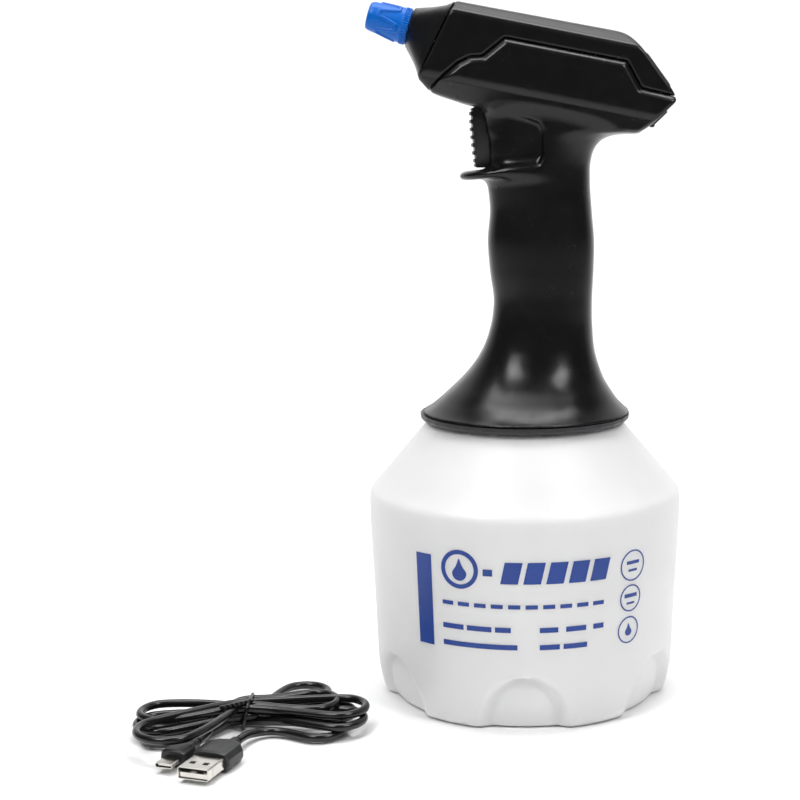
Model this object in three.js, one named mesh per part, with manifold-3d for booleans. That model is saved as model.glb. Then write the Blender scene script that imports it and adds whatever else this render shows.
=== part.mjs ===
// Battery trigger sprayer: a one-litre translucent bottle, a screw-on pistol head with a motor-driven
// gear pump, a sprung trigger, an adjustable nozzle, a rechargeable cell and its charging lead.
// Millimetres, +Z up. The origin is the centre of the bottle's base; the nozzle points towards -X.
import * as THREE from "three";
import { mergeVertices } from "three/addons/utils/BufferGeometryUtils.js";
import Module from "manifold-3d";

const wasm = await Module();
wasm.setup();

// ---- driving dimensions ----

const WALL = 2.2; // moulded housing wall
const GAP = 0.3; // clearance between touching pieces
const DEGREE = Math.PI / 180;

const BOTTLE_WALL = 1.6;
const BOTTLE_SEGMENTS = 36;
const SHOULDER_TOP = 112;
const NECK_RADIUS = 24;
const NECK_BORE = 21.8;
const NECK_TOP = 121;
const NECK_SPLIT = 0.1; // between the solids of the bottle and its neck
const THREAD_PITCH = 4;
const FOOT_ARCHES = 6;
const ARCH_HEIGHT = 22;
const ARCH_HALF_ANGLE = 15.7 * DEGREE;
const ARCH_RAMP = 5 * DEGREE;
const ARCH_DEPTH = 3.4;

const COLLAR_BOTTOM = 112.4;
const SKIRT_BOTTOM = 115.2;

const HEAD_TILT = 10.9 * DEGREE; // the head slopes up towards the nozzle
const HEAD_CENTRE = new THREE.Vector3(0, 0, 252.7);
const COVER_HALF_WIDTH = 20.5;
const PANEL_HALF_WIDTH = 22.5;
const PANEL_BEVEL = 1.7;

const NOZZLE_TILT = 16.2 * DEGREE;
const NOZZLE_BASE = new THREE.Vector3(-44.9, 0, 267.5);
const NOSE_TILT = 26.9 * DEGREE;
const NOSE_BASE = new THREE.Vector3(-33.9, 0, 262.2);
const NOSE_POINTS = 28;

const CAP_LENGTH = 17.2;
const CAP_REAR_RADIUS = 7.4;
const CAP_FRONT_RADIUS = 5.6;
const CAP_BORE = 4.7;
const CAP_BARS = 8;

const TRIGGER_PIVOT = new THREE.Vector3(-13, 0, 241);
const TRIGGER_RIBS = 7;
const TRIGGER_RIB_PITCH = 3.07;
const TRIGGER_HALF_WIDTH = 6.6;
const PIN_RADIUS = 1.5;

const CELL_RADIUS = 9.2; // 18650 cell
const CELL_LENGTH = 65;
const CELL_CENTRE_X = 13.1;
const CELL_BOTTOM = 134;

const GEAR_TEETH = 10;
const GEAR_MODULE = 0.8;
const GEAR_PRESSURE_ANGLE = 28 * DEGREE;
const GEAR_BACKLASH = 0.16;
const GEAR_DISTANCE = GEAR_TEETH * GEAR_MODULE + 0.06;
const GEAR_WIDTH = 6;

const MOTOR_RADIUS = 12;
const MOTOR_LENGTH = 26.5;

const REAR_PANEL_TILT = 53.4 * DEGREE; // from +Z to the outward normal of the rear upper face
const REAR_PANEL_CENTRE = new THREE.Vector3(51.1, 0, 250.5);
const PORT_TILT = 136.5 * DEGREE; // the same for the rear lower face, which faces down
const PORT_CENTRE = new THREE.Vector3(52.45, 0, 233.25);

// Outlines in the side view, as [x, z].
const HEAD_OUTLINE = [
  [-26.5, 276.8], [38.2, 265.1], [42.2, 262.4], [57.8, 241.5], [58.4, 240], [58.4, 238.9],
  [47.2, 228.2], [44, 226.6], [-20.6, 236.8], [-36.5, 242], [-41.3, 247.6],
];
// What the head's hollow is inset from: the same outline with a plain corner at the tail.
const HOLLOW_OUTLINE = [
  [-26.5, 276.8], [40.6, 264.6], [58.3, 240.4], [45.5, 226.4],
  [-20.6, 236.8], [-36.5, 242], [-41.3, 247.6],
];
// Everything below the stepped parting line between the top cover and the lower housing.
const LOWER_REGION = [
  [-70, 213.5], [-37.1, 242.3], [-31, 248.4], [-25.5, 253], [-21, 255.2], [-16.1, 255.5],
  [-7.5, 262.3], [38.9, 253.5], [44.6, 243.4], [80, 235.1], [80, 100], [-70, 100],
];
const REAR_FILLET = [
  [20, 213], [25.9, 213], [26.4, 217.4], [28.2, 221], [31.6, 224.2], [36.6, 226.3],
  [44, 226.9], [44, 232], [20, 239],
];
const FINGER_RECESS = [
  [-30, 239.5], [1.6, 231.9], [5.6, 230.4], [7, 227.4], [7, 217], [6.2, 214], [4, 212.6],
  [-9.9, 210.4], [-30, 211.4],
];
// Grip sections: height, front x, rear x, half width, squareness of the superellipse.
const GRIP_STATIONS = [
  [115.2, -42.4, 42.8, 42.6, 2], [116.5, -39.4, 41, 40.2, 2], [120, -35, 37.5, 36, 2],
  [124, -30.6, 34.8, 31.8, 2.1], [128, -26.3, 32.4, 28, 2.2], [133, -21.9, 30.4, 24.2, 2.3],
  [140, -17.4, 28.4, 20.9, 2.4], [150, -13.8, 27.2, 18.6, 2.4], [160, -12.6, 27, 17.8, 2.4],
  [172, -13.8, 27.5, 17.7, 2.4], [184, -14.8, 27.7, 17.7, 2.4], [197, -13.9, 26.6, 17.3, 2.4],
  [208, -15, 25.8, 17.2, 2.4], [222, -15.2, 26.6, 17.2, 2.5], [230, -16.8, 27, 17.2, 2.6],
  [240, -20.6, 27, 17.2, 2.6],
];
const GRIP_POINTS = 24;
const RECESS_HALF_WIDTH = 15;
const LIP_ROUNDING = 1.1;
const LIP_HEIGHT = 209;

// Housing screws join the two halves along Y: x, z, how far out the screw head sits.
const SCREWS = [
  [-11, 138, 11], [19.4, 208, 10.5], [-10, 206, 10.5], [39.6, 232.6, 14], [-26, 244.4, 15],
];
const SCREW_LENGTH = 20;
const SCREW_BOSS_RADIUS = 4.4;

// ---- materials ----

function plastic(colour, roughness = 0.45) {
  return new THREE.MeshStandardMaterial({ color: colour, roughness, metalness: 0 });
}

function metal(colour, roughness = 0.35) {
  return new THREE.MeshStandardMaterial({ color: colour, roughness, metalness: 1 });
}

function translucent(colour, opacity) {
  return new THREE.MeshStandardMaterial({ color: colour, roughness: 0.4, transparent: true, opacity });
}

const BLACK = 0x16171a;
const CAP_BLUE = 0x0a62c8;

// ---- geometry helpers ----

function solidOf(geometry) {
  const source = geometry.index ? geometry.toNonIndexed() : geometry;
  const bare = new THREE.BufferGeometry();
  bare.setAttribute("position", source.getAttribute("position").clone());
  const merged = mergeVertices(bare, 1e-3);
  const triangles = new Uint32Array(merged.index.array);
  const vertProperties = merged.attributes.position.array;
  const build = () => {
    const mesh = new wasm.Mesh({ numProp: 3, vertProperties, triVerts: triangles });
    return new wasm.Manifold(mesh);
  };
  const solid = build();
  if (solid.volume() >= 0) return solid;
  for (let i = 0; i < triangles.length; i += 3) {
    [triangles[i + 1], triangles[i + 2]] = [triangles[i + 2], triangles[i + 1]];
  }
  return build();
}

function geometryOf(solid) {
  const mesh = solid.getMesh();
  const stride = mesh.numProp;
  const positions = new Float32Array(mesh.numVert * 3);
  for (let i = 0; i < mesh.numVert; i++) {
    positions.set(mesh.vertProperties.subarray(i * stride, i * stride + 3), i * 3);
  }
  const geometry = new THREE.BufferGeometry();
  geometry.setAttribute("position", new THREE.BufferAttribute(positions, 3));
  geometry.setIndex(new THREE.BufferAttribute(new Uint32Array(mesh.triVerts), 1));
  return geometry;
}

function shapeOf(points) {
  return new THREE.Shape(points.map(([x, y]) => new THREE.Vector2(x, y)));
}

function circlePoints(radius, sides, x = 0, y = 0) {
  return Array.from({ length: sides }, (_, i) => {
    const angle = (i / sides) * 2 * Math.PI;
    return [x + radius * Math.cos(angle), y + radius * Math.sin(angle)];
  });
}

function extruded(points, depth, holes = []) {
  const shape = shapeOf(points);
  holes.forEach((hole) => shape.holes.push(shapeOf(hole)));
  return new THREE.ExtrudeGeometry(shape, { depth, bevelEnabled: false });
}

// A side outline [x, z] made into a slab between two values of y.
function slab(points, low, high) {
  return extruded(points, high - low).rotateX(Math.PI / 2).translate(0, high, 0);
}

// An outline [y, z] made into a bar along +X from zero.
function bar(points, length, holes = []) {
  const basis = new THREE.Matrix4().makeBasis(
    new THREE.Vector3(0, 1, 0),
    new THREE.Vector3(0, 0, 1),
    new THREE.Vector3(1, 0, 0),
  );
  return extruded(points, length, holes).applyMatrix4(basis);
}

// A profile [radius, z] turned about Z. It starts and ends on the axis, or closes on itself.
function turned(profile, segments = 24) {
  const points = profile.map(([radius, z]) => new THREE.Vector2(radius, z));
  return new THREE.LatheGeometry(points, segments).rotateX(Math.PI / 2);
}

function rod(radius, low, high, segments = 20) {
  return turned([[0, low], [radius, low], [radius, high], [0, high]], segments);
}

function pipe(outer, inner, low, high, segments = 24) {
  return turned([[inner, low], [outer, low], [outer, high], [inner, high], [inner, low]], segments);
}

function box(sizeX, sizeY, sizeZ, x = 0, y = 0, z = 0) {
  return new THREE.BoxGeometry(sizeX, sizeY, sizeZ).translate(x, y, z);
}

function roundedRectangle(width, height, radius, steps = 3) {
  const points = [];
  const corners = [[1, 1], [-1, 1], [-1, -1], [1, -1]];
  corners.forEach(([sx, sy], quarter) => {
    for (let i = 0; i <= steps; i++) {
      const angle = (quarter + i / steps) * (Math.PI / 2);
      points.push([
        sx * (width / 2 - radius) + radius * Math.cos(angle),
        sy * (height / 2 - radius) + radius * Math.sin(angle),
      ]);
    }
  });
  return points;
}

// A tube along a smooth curve through the route's points.
function tube(route, outer, inner, sides, steps) {
  const points = route.map((p) => new THREE.Vector3(...p));
  const curve = new THREE.CatmullRomCurve3(points, false, "centripetal");
  const section = shapeOf(circlePoints(outer, sides));
  if (inner > 0) section.holes.push(shapeOf(circlePoints(inner, sides)));
  return new THREE.ExtrudeGeometry(section, { steps, extrudePath: curve, bevelEnabled: false });
}

// Rings of equal point counts joined into one closed skin.
function loft(rings) {
  const count = rings[0].length;
  const positions = rings.flat().flatMap((p) => [p.x, p.y, p.z]);
  const triangles = [];
  for (let r = 0; r + 1 < rings.length; r++) {
    for (let i = 0; i < count; i++) {
      const a = r * count + i;
      const b = r * count + ((i + 1) % count);
      triangles.push(a, b, b + count, a, b + count, a + count);
    }
  }
  const top = (rings.length - 1) * count;
  for (let i = 1; i + 1 < count; i++) {
    triangles.push(0, i + 1, i, top, top + i, top + i + 1);
  }
  const geometry = new THREE.BufferGeometry();
  geometry.setAttribute("position", new THREE.BufferAttribute(new Float32Array(positions), 3));
  geometry.setIndex(triangles);
  return geometry;
}

function superellipsePoint(angle, a, b, power) {
  const c = Math.cos(angle);
  const s = Math.sin(angle);
  const radius = (Math.abs(c / a) ** power + Math.abs(s / b) ** power) ** (-1 / power);
  return [radius * c, radius * s];
}

// A closed outline moved inwards by a distance, edge by edge.
function inset(points, distance) {
  const area = points.reduce((sum, [x, y], i) => {
    const [nextX, nextY] = points[(i + 1) % points.length];
    return sum + x * nextY - nextX * y;
  }, 0);
  const side = Math.sign(area);
  const edges = points.map(([x, y], i) => {
    const [nextX, nextY] = points[(i + 1) % points.length];
    const length = Math.hypot(nextX - x, nextY - y);
    const direction = [(nextX - x) / length, (nextY - y) / length];
    const shift = [-direction[1] * side * distance, direction[0] * side * distance];
    return { start: [x + shift[0], y + shift[1]], direction };
  });
  return edges.map((edge, i) => {
    const before = edges[(i + edges.length - 1) % edges.length];
    const cross = before.direction[0] * edge.direction[1] - before.direction[1] * edge.direction[0];
    const dx = edge.start[0] - before.start[0];
    const dy = edge.start[1] - before.start[1];
    const along = (dx * edge.direction[1] - dy * edge.direction[0]) / cross;
    return [
      before.start[0] + before.direction[0] * along,
      before.start[1] + before.direction[1] * along,
    ];
  });
}

// A slab whose outline changes from its near face to its far one, point for point.
function taperedSlab(nearOutline, farOutline, near, far) {
  const contours = [nearOutline, farOutline].map((outline) => (
    outline.map(([x, z]) => new THREE.Vector2(x, z))
  ));
  if (THREE.ShapeUtils.isClockWise(contours[0])) contours.forEach((contour) => contour.reverse());
  const count = contours[0].length;
  const levels = [near, far];
  const positions = contours.flatMap((contour, end) => contour.flatMap((p) => [p.x, levels[end], p.y]));
  const triangles = [];
  for (let i = 0; i < count; i++) {
    const next = (i + 1) % count;
    triangles.push(i, next, next + count, i, next + count, i + count);
  }
  THREE.ShapeUtils.triangulateShape(contours[0], []).forEach(([a, b, c]) => triangles.push(c, b, a));
  THREE.ShapeUtils.triangulateShape(contours[1], []).forEach(([a, b, c]) => {
    triangles.push(a + count, b + count, c + count);
  });
  const geometry = new THREE.BufferGeometry();
  geometry.setAttribute("position", new THREE.BufferAttribute(new Float32Array(positions), 3));
  geometry.setIndex(triangles);
  return geometry;
}

function join(...geometries) {
  return geometries.map(solidOf).reduce((a, b) => a.add(b));
}

function cut(solid, ...tools) {
  return tools.reduce((left, tool) => left.subtract(solidOf(tool)), solid);
}

// A local frame whose +Z leans from the part's +Z towards +X by the tilt.
function leaning(origin, tilt) {
  const matrix = new THREE.Matrix4().makeRotationY(tilt);
  return matrix.setPosition(origin);
}

const HEAD_FRAME = leaning(HEAD_CENTRE, HEAD_TILT);
const NOZZLE_FRAME = leaning(NOZZLE_BASE, NOZZLE_TILT - Math.PI / 2);
const NOSE_FRAME = leaning(NOSE_BASE, NOSE_TILT - Math.PI / 2);
const REAR_PANEL_FRAME = leaning(REAR_PANEL_CENTRE, REAR_PANEL_TILT);
const PORT_FRAME = leaning(PORT_CENTRE, PORT_TILT);

const model = new THREE.Group();

function frameGroup(matrix) {
  const group = new THREE.Group();
  matrix.decompose(group.position, group.quaternion, group.scale);
  model.add(group);
  return group;
}

function addPiece(name, shape, material, group = model) {
  const geometry = shape.isBufferGeometry ? geometryOf(solidOf(shape)) : geometryOf(shape);
  const mesh = new THREE.Mesh(geometry, material);
  mesh.name = name;
  group.add(mesh);
  return mesh;
}

// ---- bottle ----

// Six shallow arches are pressed into the wall around the foot.
function pressFootArches(geometry) {
  const position = geometry.getAttribute("position");
  for (let i = 0; i < position.count; i++) {
    const x = position.getX(i);
    const y = position.getY(i);
    const z = position.getZ(i);
    const radius = Math.hypot(x, y);
    if (z > ARCH_HEIGHT || radius < 40) continue;
    const pitch = (2 * Math.PI) / FOOT_ARCHES;
    const turn = Math.atan2(x, -y);
    const offset = Math.abs(turn - Math.round(turn / pitch) * pitch);
    const halfAngle = ARCH_HALF_ANGLE * Math.sqrt(1 - (z / ARCH_HEIGHT) ** 2);
    const inside = THREE.MathUtils.smoothstep(halfAngle - offset, -ARCH_RAMP / 2, ARCH_RAMP / 2);
    const depth = ARCH_DEPTH * inside;
    const scale = 1 - depth / radius;
    position.setXY(i, x * scale, y * scale);
  }
  return geometry;
}

function threadRidge(radius, height, low, turns, phase) {
  const section = shapeOf([[-height, -0.9], [height, -0.4], [height, 0.4], [-height, 0.9]]);
  const rings = [];
  const stepsPerTurn = 16;
  const steps = Math.round(turns * stepsPerTurn);
  const corners = section.getPoints().slice(0, 4);
  for (let i = 0; i <= steps; i++) {
    const angle = phase + (i / stepsPerTurn) * 2 * Math.PI;
    const z = low + (THREAD_PITCH * i) / stepsPerTurn;
    rings.push(corners.map((c) => {
      const r = radius + c.x;
      return new THREE.Vector3(r * Math.cos(angle), r * Math.sin(angle), z + c.y);
    }));
  }
  return loft(rings);
}

// The body of the bottle, up to the flat under its neck.
function bottleShell() {
  const outside = [
    [0, 0], [52, 0], [56.5, 0.5], [58.2, 3], [60, 9], [60.8, 16], [61.1, 22],
    [62, 50], [63.2, 76], [63.2, 80], [62.4, 83.6], [60, 87.3],
    [45.9, 103.9], [40.6, 110.2], [37, SHOULDER_TOP], [NECK_BORE, SHOULDER_TOP],
  ];
  const inside = [
    [NECK_BORE, SHOULDER_TOP - BOTTLE_WALL], [37, SHOULDER_TOP - BOTTLE_WALL],
    [44.6, 102.9], [59.4, 85.4], [61.6, 80], [61.6, 76], [60.4, 50], [59.5, 22],
    [58.8, 12], [56.4, 4], [52, 2], [0, 2],
  ];
  return pressFootArches(turned([...outside, ...inside], BOTTLE_SEGMENTS));
}

// The threaded neck is its own solid, so that collision leaves the mouth open.
function bottleNeck() {
  const ring = pipe(NECK_RADIUS, NECK_BORE, SHOULDER_TOP + NECK_SPLIT, NECK_TOP, BOTTLE_SEGMENTS);
  return solidOf(ring).add(solidOf(threadRidge(NECK_RADIUS + 0.5, 0.8, 114, 1.25, 0)));
}

// ---- collar, gasket and suction line ----

function threadedCollar() {
  const sleeve = solidOf(turned([
    [25.6, COLLAR_BOTTOM], [41.4, COLLAR_BOTTOM], [42.4, COLLAR_BOTTOM + 1.2],
    [42.4, SKIRT_BOTTOM - GAP], [27, SKIRT_BOTTOM - GAP], [27, 124.6], [5.2, 124.6], [5.2, 123],
    [25.6, 123], [25.6, COLLAR_BOTTOM],
  ], 32));
  const ridge = threadRidge(25.4, 0.8, 116.8, 0.75, 0.4 * Math.PI);
  const ventHole = rod(2.6, 122, 126).translate(-12, 0, 0);
  return cut(sleeve.add(solidOf(ridge)), ventHole);
}

function ventValve() {
  return turned([
    [0, 122.2], [2.2, 122.2], [2.2, 124.9], [4, 124.9], [3.4, 126], [0, 126.6],
  ], 12).translate(-12, 0, 0);
}

function dipFitting() {
  return turned([
    [1.2, 106], [2, 106], [2.5, 110], [2.2, 112], [2.2, 120.5], [4.9, 120.8], [4.9, 124.9],
    [7, 124.9], [7, 126.4], [1.6, 126.4], [1.6, 134], [1.2, 134], [1.2, 106],
  ], 16);
}

const DIP_ROUTE = [[0, 0, 119.8], [0, 0, 100], [1, 1, 76], [8, 4, 48], [20, 9, 28], [29.5, 13.5, 18]];
const DIP_END = new THREE.Vector3(...DIP_ROUTE.at(-1));

function suctionFilter() {
  const filter = turned([
    [4.2, 0], [5.6, 0], [7, 1.6], [7, 13], [5.8, 15], [2, 15], [2, 3.4], [4.2, 3.4], [4.2, 0],
  ], 16);
  const before = new THREE.Vector3(...DIP_ROUTE.at(-2));
  const direction = DIP_END.clone().sub(before).normalize();
  const turn = new THREE.Quaternion().setFromUnitVectors(new THREE.Vector3(0, 0, 1), direction);
  return filter.applyQuaternion(turn).translate(DIP_END.x, DIP_END.y, DIP_END.z);
}

const INLET_ROUTE = [
  [0, 0, 127.2], [0, 0, 133], [-2, 0, 140], [-4.4, 0, 150], [-4.4, 0.6, 185], [-2, 3, 202],
  [0.4, 5.2, 214], [-2.2, 4.9, 225], [-3.2, 4.6, 231], [-2.14, 4.6, 236.2],
];
const OUTLET_ROUTE = [
  [-5.4, -4.2, 249.6], [-9.4, -4.2, 250.4], [-15, -3.8, 252.6], [-21, -2.4, 257.4], [-26, -0.6, 261.4],
  [-30.5, 0, 263.3], [-35.9, 0, 264.9],
];

// ---- housing ----

function gripRings(shrink, low, high) {
  return GRIP_STATIONS.map(([z, front, rear, halfWidth, power], index) => {
    const height = index === 0 ? low : index === GRIP_STATIONS.length - 1 ? high : z;
    const centre = (front + rear) / 2;
    const halfDepth = (rear - front) / 2 - shrink;
    return Array.from({ length: GRIP_POINTS }, (_, i) => {
      const angle = (i / GRIP_POINTS) * 2 * Math.PI;
      const [x, y] = superellipsePoint(angle, halfDepth, halfWidth - shrink, power);
      return new THREE.Vector3(centre + x, y, height);
    });
  });
}

// The head's section across its own axis: chamfered top and bottom edges.
function headSection(halfWidth) {
  return [
    [halfWidth, 14.6], [9.3, 22], [-9.3, 22], [-halfWidth, 14.6],
    [-halfWidth, -10.8], [-9, -22.4], [9, -22.4], [halfWidth, -10.8],
  ];
}

function headBar(section) {
  return bar(section, 130).translate(-65, 0, 0).applyMatrix4(HEAD_FRAME);
}

// The lower part of the head: its side panels stand proud, with a bevel along the parting line.
function lowerHead() {
  const bevelled = inset(LOWER_REGION, PANEL_BEVEL);
  const region = join(
    slab(LOWER_REGION, -COVER_HALF_WIDTH, COVER_HALF_WIDTH),
    taperedSlab(LOWER_REGION, bevelled, COVER_HALF_WIDTH, PANEL_HALF_WIDTH),
    taperedSlab(LOWER_REGION, bevelled, -COVER_HALF_WIDTH, -PANEL_HALF_WIDTH),
  );
  return region
    .intersect(solidOf(slab(HEAD_OUTLINE, -60, 60)))
    .intersect(solidOf(headBar(headSection(PANEL_HALF_WIDTH))));
}

function fingerLip() {
  const outline = [
    [6, 15], [-8, 17.6], [-15, 16.6], [-21, 13], [-24.8, 7], [-26, 0],
    [-24.8, -7], [-21, -13], [-15, -16.6], [-8, -17.6], [6, -15],
  ];
  const shape = shapeOf(outline);
  const geometry = new THREE.ExtrudeGeometry(shape, {
    depth: 1.5,
    bevelEnabled: true,
    bevelSegments: 2,
    bevelThickness: LIP_ROUNDING,
    bevelSize: LIP_ROUNDING,
    bevelOffset: -LIP_ROUNDING,
  });
  return geometry.translate(0, 0, LIP_HEIGHT);
}

// The finger recess on both sides, down to a half width, grown at its edges by a margin.
function recessCutters(halfWidth, margin) {
  const outline = inset(FINGER_RECESS, -margin);
  return [slab(outline, halfWidth, 40), slab(outline, -40, -halfWidth)];
}

function housingHollow() {
  const headRoom = solidOf(slab(inset(HOLLOW_OUTLINE, WALL), -60, 60))
    .intersect(solidOf(headBar(inset(headSection(COVER_HALF_WIDTH), WALL))));
  const recessWall = recessCutters(RECESS_HALF_WIDTH - WALL, WALL);
  const gripRoom = cut(solidOf(loft(gripRings(WALL, 112, 241))), ...recessWall);
  return headRoom.add(gripRoom);
}

function nozzleHole() {
  return rod(5.4, -30, 6, 20).applyMatrix4(NOZZLE_FRAME);
}

function screwBosses() {
  return SCREWS.map(([x, z, out]) => {
    const boss = rod(SCREW_BOSS_RADIUS, -out, out, 12);
    return solidOf(boss.rotateX(Math.PI / 2).translate(x, 0, z));
  });
}

function pivotBosses() {
  return [-1, 1].map((side) => {
    const boss = rod(3.4, 8, 18.6, 12).rotateX((-side * Math.PI) / 2);
    return solidOf(boss.translate(TRIGGER_PIVOT.x, 0, TRIGGER_PIVOT.z));
  });
}

function lowerHousing() {
  const fullGrip = solidOf(loft(gripRings(0, SKIRT_BOTTOM, 240)));
  const grip = cut(fullGrip, ...recessCutters(RECESS_HALF_WIDTH, 0));
  const outside = grip
    .add(solidOf(slab(REAR_FILLET, -12, 12)))
    .add(solidOf(fingerLip()))
    .add(lowerHead());
  const bosses = [...screwBosses(), ...pivotBosses()].reduce((a, b) => a.add(b));
  const bossed = outside.subtract(housingHollow()).add(bosses.intersect(outside));
  const slot = box(16.7, 14.4, 26.6, -17.85, 0, 225.7);
  const pinBore = rod(PIN_RADIUS + 0.1, -17.4, 17.4, 16)
    .rotateX(Math.PI / 2)
    .translate(TRIGGER_PIVOT.x, 0, TRIGGER_PIVOT.z);
  const portOpening = extruded(roundedRectangle(3.8, 9.4, 1.2), 9)
    .translate(0, 0, -7)
    .applyMatrix4(PORT_FRAME);
  return cut(bossed, slot, pinBore, portOpening, nozzleHole());
}

// One half of the lower housing: side is +1 for the half that takes the screw heads.
function housingHalf(whole, side) {
  const half = whole.intersect(solidOf(box(400, 200, 600, 0, side * 100.15, 200)));
  const bores = SCREWS.flatMap(([x, z, out]) => {
    const pilot = rod(1.55, -out - 1, out + 1, 10).rotateX(Math.PI / 2).translate(x, 0, z);
    const counterbore = rod(3.1, out - 2.3, 40, 12).rotateX(-Math.PI / 2).translate(x, 0, z);
    return side > 0 ? [pilot, counterbore] : [pilot];
  });
  return cut(half, ...bores);
}

function topCover() {
  const block = solidOf(slab(HEAD_OUTLINE, -60, 60))
    .intersect(solidOf(headBar(headSection(COVER_HALF_WIDTH))))
    .subtract(solidOf(slab(inset(LOWER_REGION, -GAP), -60, 60)))
    .subtract(housingHollow());
  const panelPocket = extruded(roundedRectangle(16.4, 25.4, 2.4), 4).translate(0, 0, -0.5);
  const buttonHole = rod(4.3, -8, 4).translate(3.4, 0, 0);
  const lensHoles = [-1, 0, 1].map((i) => rod(1.5, -8, 4, 8).translate(-4.6, 5 * i, 0));
  const cuts = [panelPocket, buttonHole, ...lensHoles].map((g) => g.applyMatrix4(REAR_PANEL_FRAME));
  return cut(block, ...cuts, nozzleHole());
}

// ---- nose and nozzle ----

function noseRing(height, halfHeight, halfWidth, power, frame = NOSE_FRAME) {
  return Array.from({ length: NOSE_POINTS }, (_, i) => {
    const angle = (i / NOSE_POINTS) * 2 * Math.PI;
    const [x, y] = superellipsePoint(angle, halfHeight, halfWidth, power);
    return new THREE.Vector3(x, y, height).applyMatrix4(frame);
  });
}

function noseCone() {
  const outer = loft([
    noseRing(0.3, 16, 20.3, 4.5),
    noseRing(2.4, 13.8, 18.1, 4),
    noseRing(-0.2, 7.8, 7.8, 2, NOZZLE_FRAME),
  ]);
  const inner = loft([
    noseRing(-1, 13.2, 17.4, 4),
    noseRing(1.4, 11.6, 15.9, 4),
    noseRing(-3.4, 6.6, 7.4, 2, NOZZLE_FRAME),
  ]);
  return cut(solidOf(outer), inner, nozzleHole());
}

function nozzleTube() {
  return turned([
    [0.9, -16], [1.6, -16], [1.6, -9], [3.4, -9], [3.4, -6], [5, -6], [5, -3], [4.4, -3], [4.4, 5.2],
    [3.6, 5.2], [3.6, 6.8], [4.4, 6.8], [4.4, 12.6], [0.9, 12.6], [0.9, -16],
  ], 20);
}

function nozzleCap() {
  const start = 0.6;
  const end = CAP_LENGTH;
  const body = solidOf(turned([
    [CAP_BORE, start], [CAP_REAR_RADIUS, start], [CAP_REAR_RADIUS - 0.2, start + 2.4],
    [CAP_FRONT_RADIUS, end - 1.4], [CAP_FRONT_RADIUS - 0.6, end - 0.4], [CAP_FRONT_RADIUS - 1.5, end],
    [2, end], [0.8, end - 1], [0.8, end - 2], [CAP_BORE, end - 2], [CAP_BORE, start],
  ], 24));
  const lean = Math.atan((CAP_REAR_RADIUS - CAP_FRONT_RADIUS) / CAP_LENGTH);
  const bars = Array.from({ length: CAP_BARS }, (_, i) => {
    const rib = box(0.9, 1.3, 9.5).rotateY(-lean).translate(6.45, 0, 8.4);
    return solidOf(rib.rotateZ((i / CAP_BARS) * 2 * Math.PI));
  });
  return bars.reduce((a, b) => a.add(b), body);
}

// ---- trigger ----

function triggerOutline() {
  const front = (z) => -21.4 + 0.0045 * (236 - z) ** 2 * 0.85;
  const points = [[-19.6, 236], [-21, 235.6]];
  for (let i = 0; i < TRIGGER_RIBS; i++) {
    const z = 234.2 - i * TRIGGER_RIB_PITCH;
    points.push([front(z) + 0.7, z + 0.9], [front(z) - 0.2, z + 0.4]);
    points.push([front(z) - 0.2, z - 0.4], [front(z) + 0.7, z - 0.9]);
  }
  const back = [
    [-18.6, 213.2], [-11.8, 213.2], [-11, 222], [-11.2, 230],
    [-9.9, 238], [-10, 241], [-16, 241], [-16.4, 237.4],
  ];
  return [...points, ...back];
}

function trigger() {
  const hub = rod(3.3, -TRIGGER_HALF_WIDTH, TRIGGER_HALF_WIDTH).rotateX(Math.PI / 2)
    .translate(TRIGGER_PIVOT.x, 0, TRIGGER_PIVOT.z);
  const bore = rod(PIN_RADIUS + 0.1, -10, 10).rotateX(Math.PI / 2)
    .translate(TRIGGER_PIVOT.x, 0, TRIGGER_PIVOT.z);
  return cut(join(slab(triggerOutline(), -TRIGGER_HALF_WIDTH, TRIGGER_HALF_WIDTH), hub), bore);
}

function compressionSpring(radius, wire, length, turns) {
  const stepsPerTurn = 8;
  const steps = turns * stepsPerTurn;
  const rings = Array.from({ length: steps + 1 }, (_, i) => {
    const angle = (i / stepsPerTurn) * 2 * Math.PI;
    const centre = wire + ((length - 2 * wire) * i) / steps;
    return circlePoints(wire, 5).map(([out, along]) => new THREE.Vector3(
      centre + along,
      (radius + out) * Math.cos(angle),
      (radius + out) * Math.sin(angle),
    ));
  });
  return loft(rings);
}

function microswitch() {
  const body = box(5.2, 6.2, 12.8, -5.5, -5.4, 228.4);
  const plunger = box(1.2, 2.6, 1.8, -8.5, -5.4, 228.4);
  const lugs = box(1.2, 1, 16, -4.4, -5.4, 228.4);
  return join(body, plunger, lugs);
}

// ---- electrics ----

function batteryCell() {
  return turned([
    [0, 0], [CELL_RADIUS - 0.4, 0], [CELL_RADIUS, 0.4], [CELL_RADIUS, CELL_LENGTH - 1.4],
    [CELL_RADIUS - 0.6, CELL_LENGTH - 0.8], [3.2, CELL_LENGTH - 0.8], [3, CELL_LENGTH], [0, CELL_LENGTH],
  ], 20).translate(CELL_CENTRE_X, 0, CELL_BOTTOM);
}

function batteryCradle() {
  const steps = 12;
  const opening = 55 * DEGREE;
  const arc = (radius, from, to) => Array.from({ length: steps + 1 }, (_, i) => {
    const angle = from + ((to - from) * i) / steps;
    return [CELL_CENTRE_X + radius * Math.cos(angle), radius * Math.sin(angle)];
  });
  const limit = Math.PI - opening;
  const section = [...arc(CELL_RADIUS + 1.5, -limit, limit), ...arc(CELL_RADIUS + GAP, limit, -limit)];
  const trough = extruded(section, CELL_LENGTH + 5).translate(0, 0, CELL_BOTTOM - 2.5);
  const ends = [CELL_BOTTOM - 2.5, CELL_BOTTOM + CELL_LENGTH + 0.7].map((z) =>
    rod(CELL_RADIUS + 1, z, z + 1.8, 16).translate(CELL_CENTRE_X, 0, 0));
  return join(trough, ...ends);
}

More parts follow.
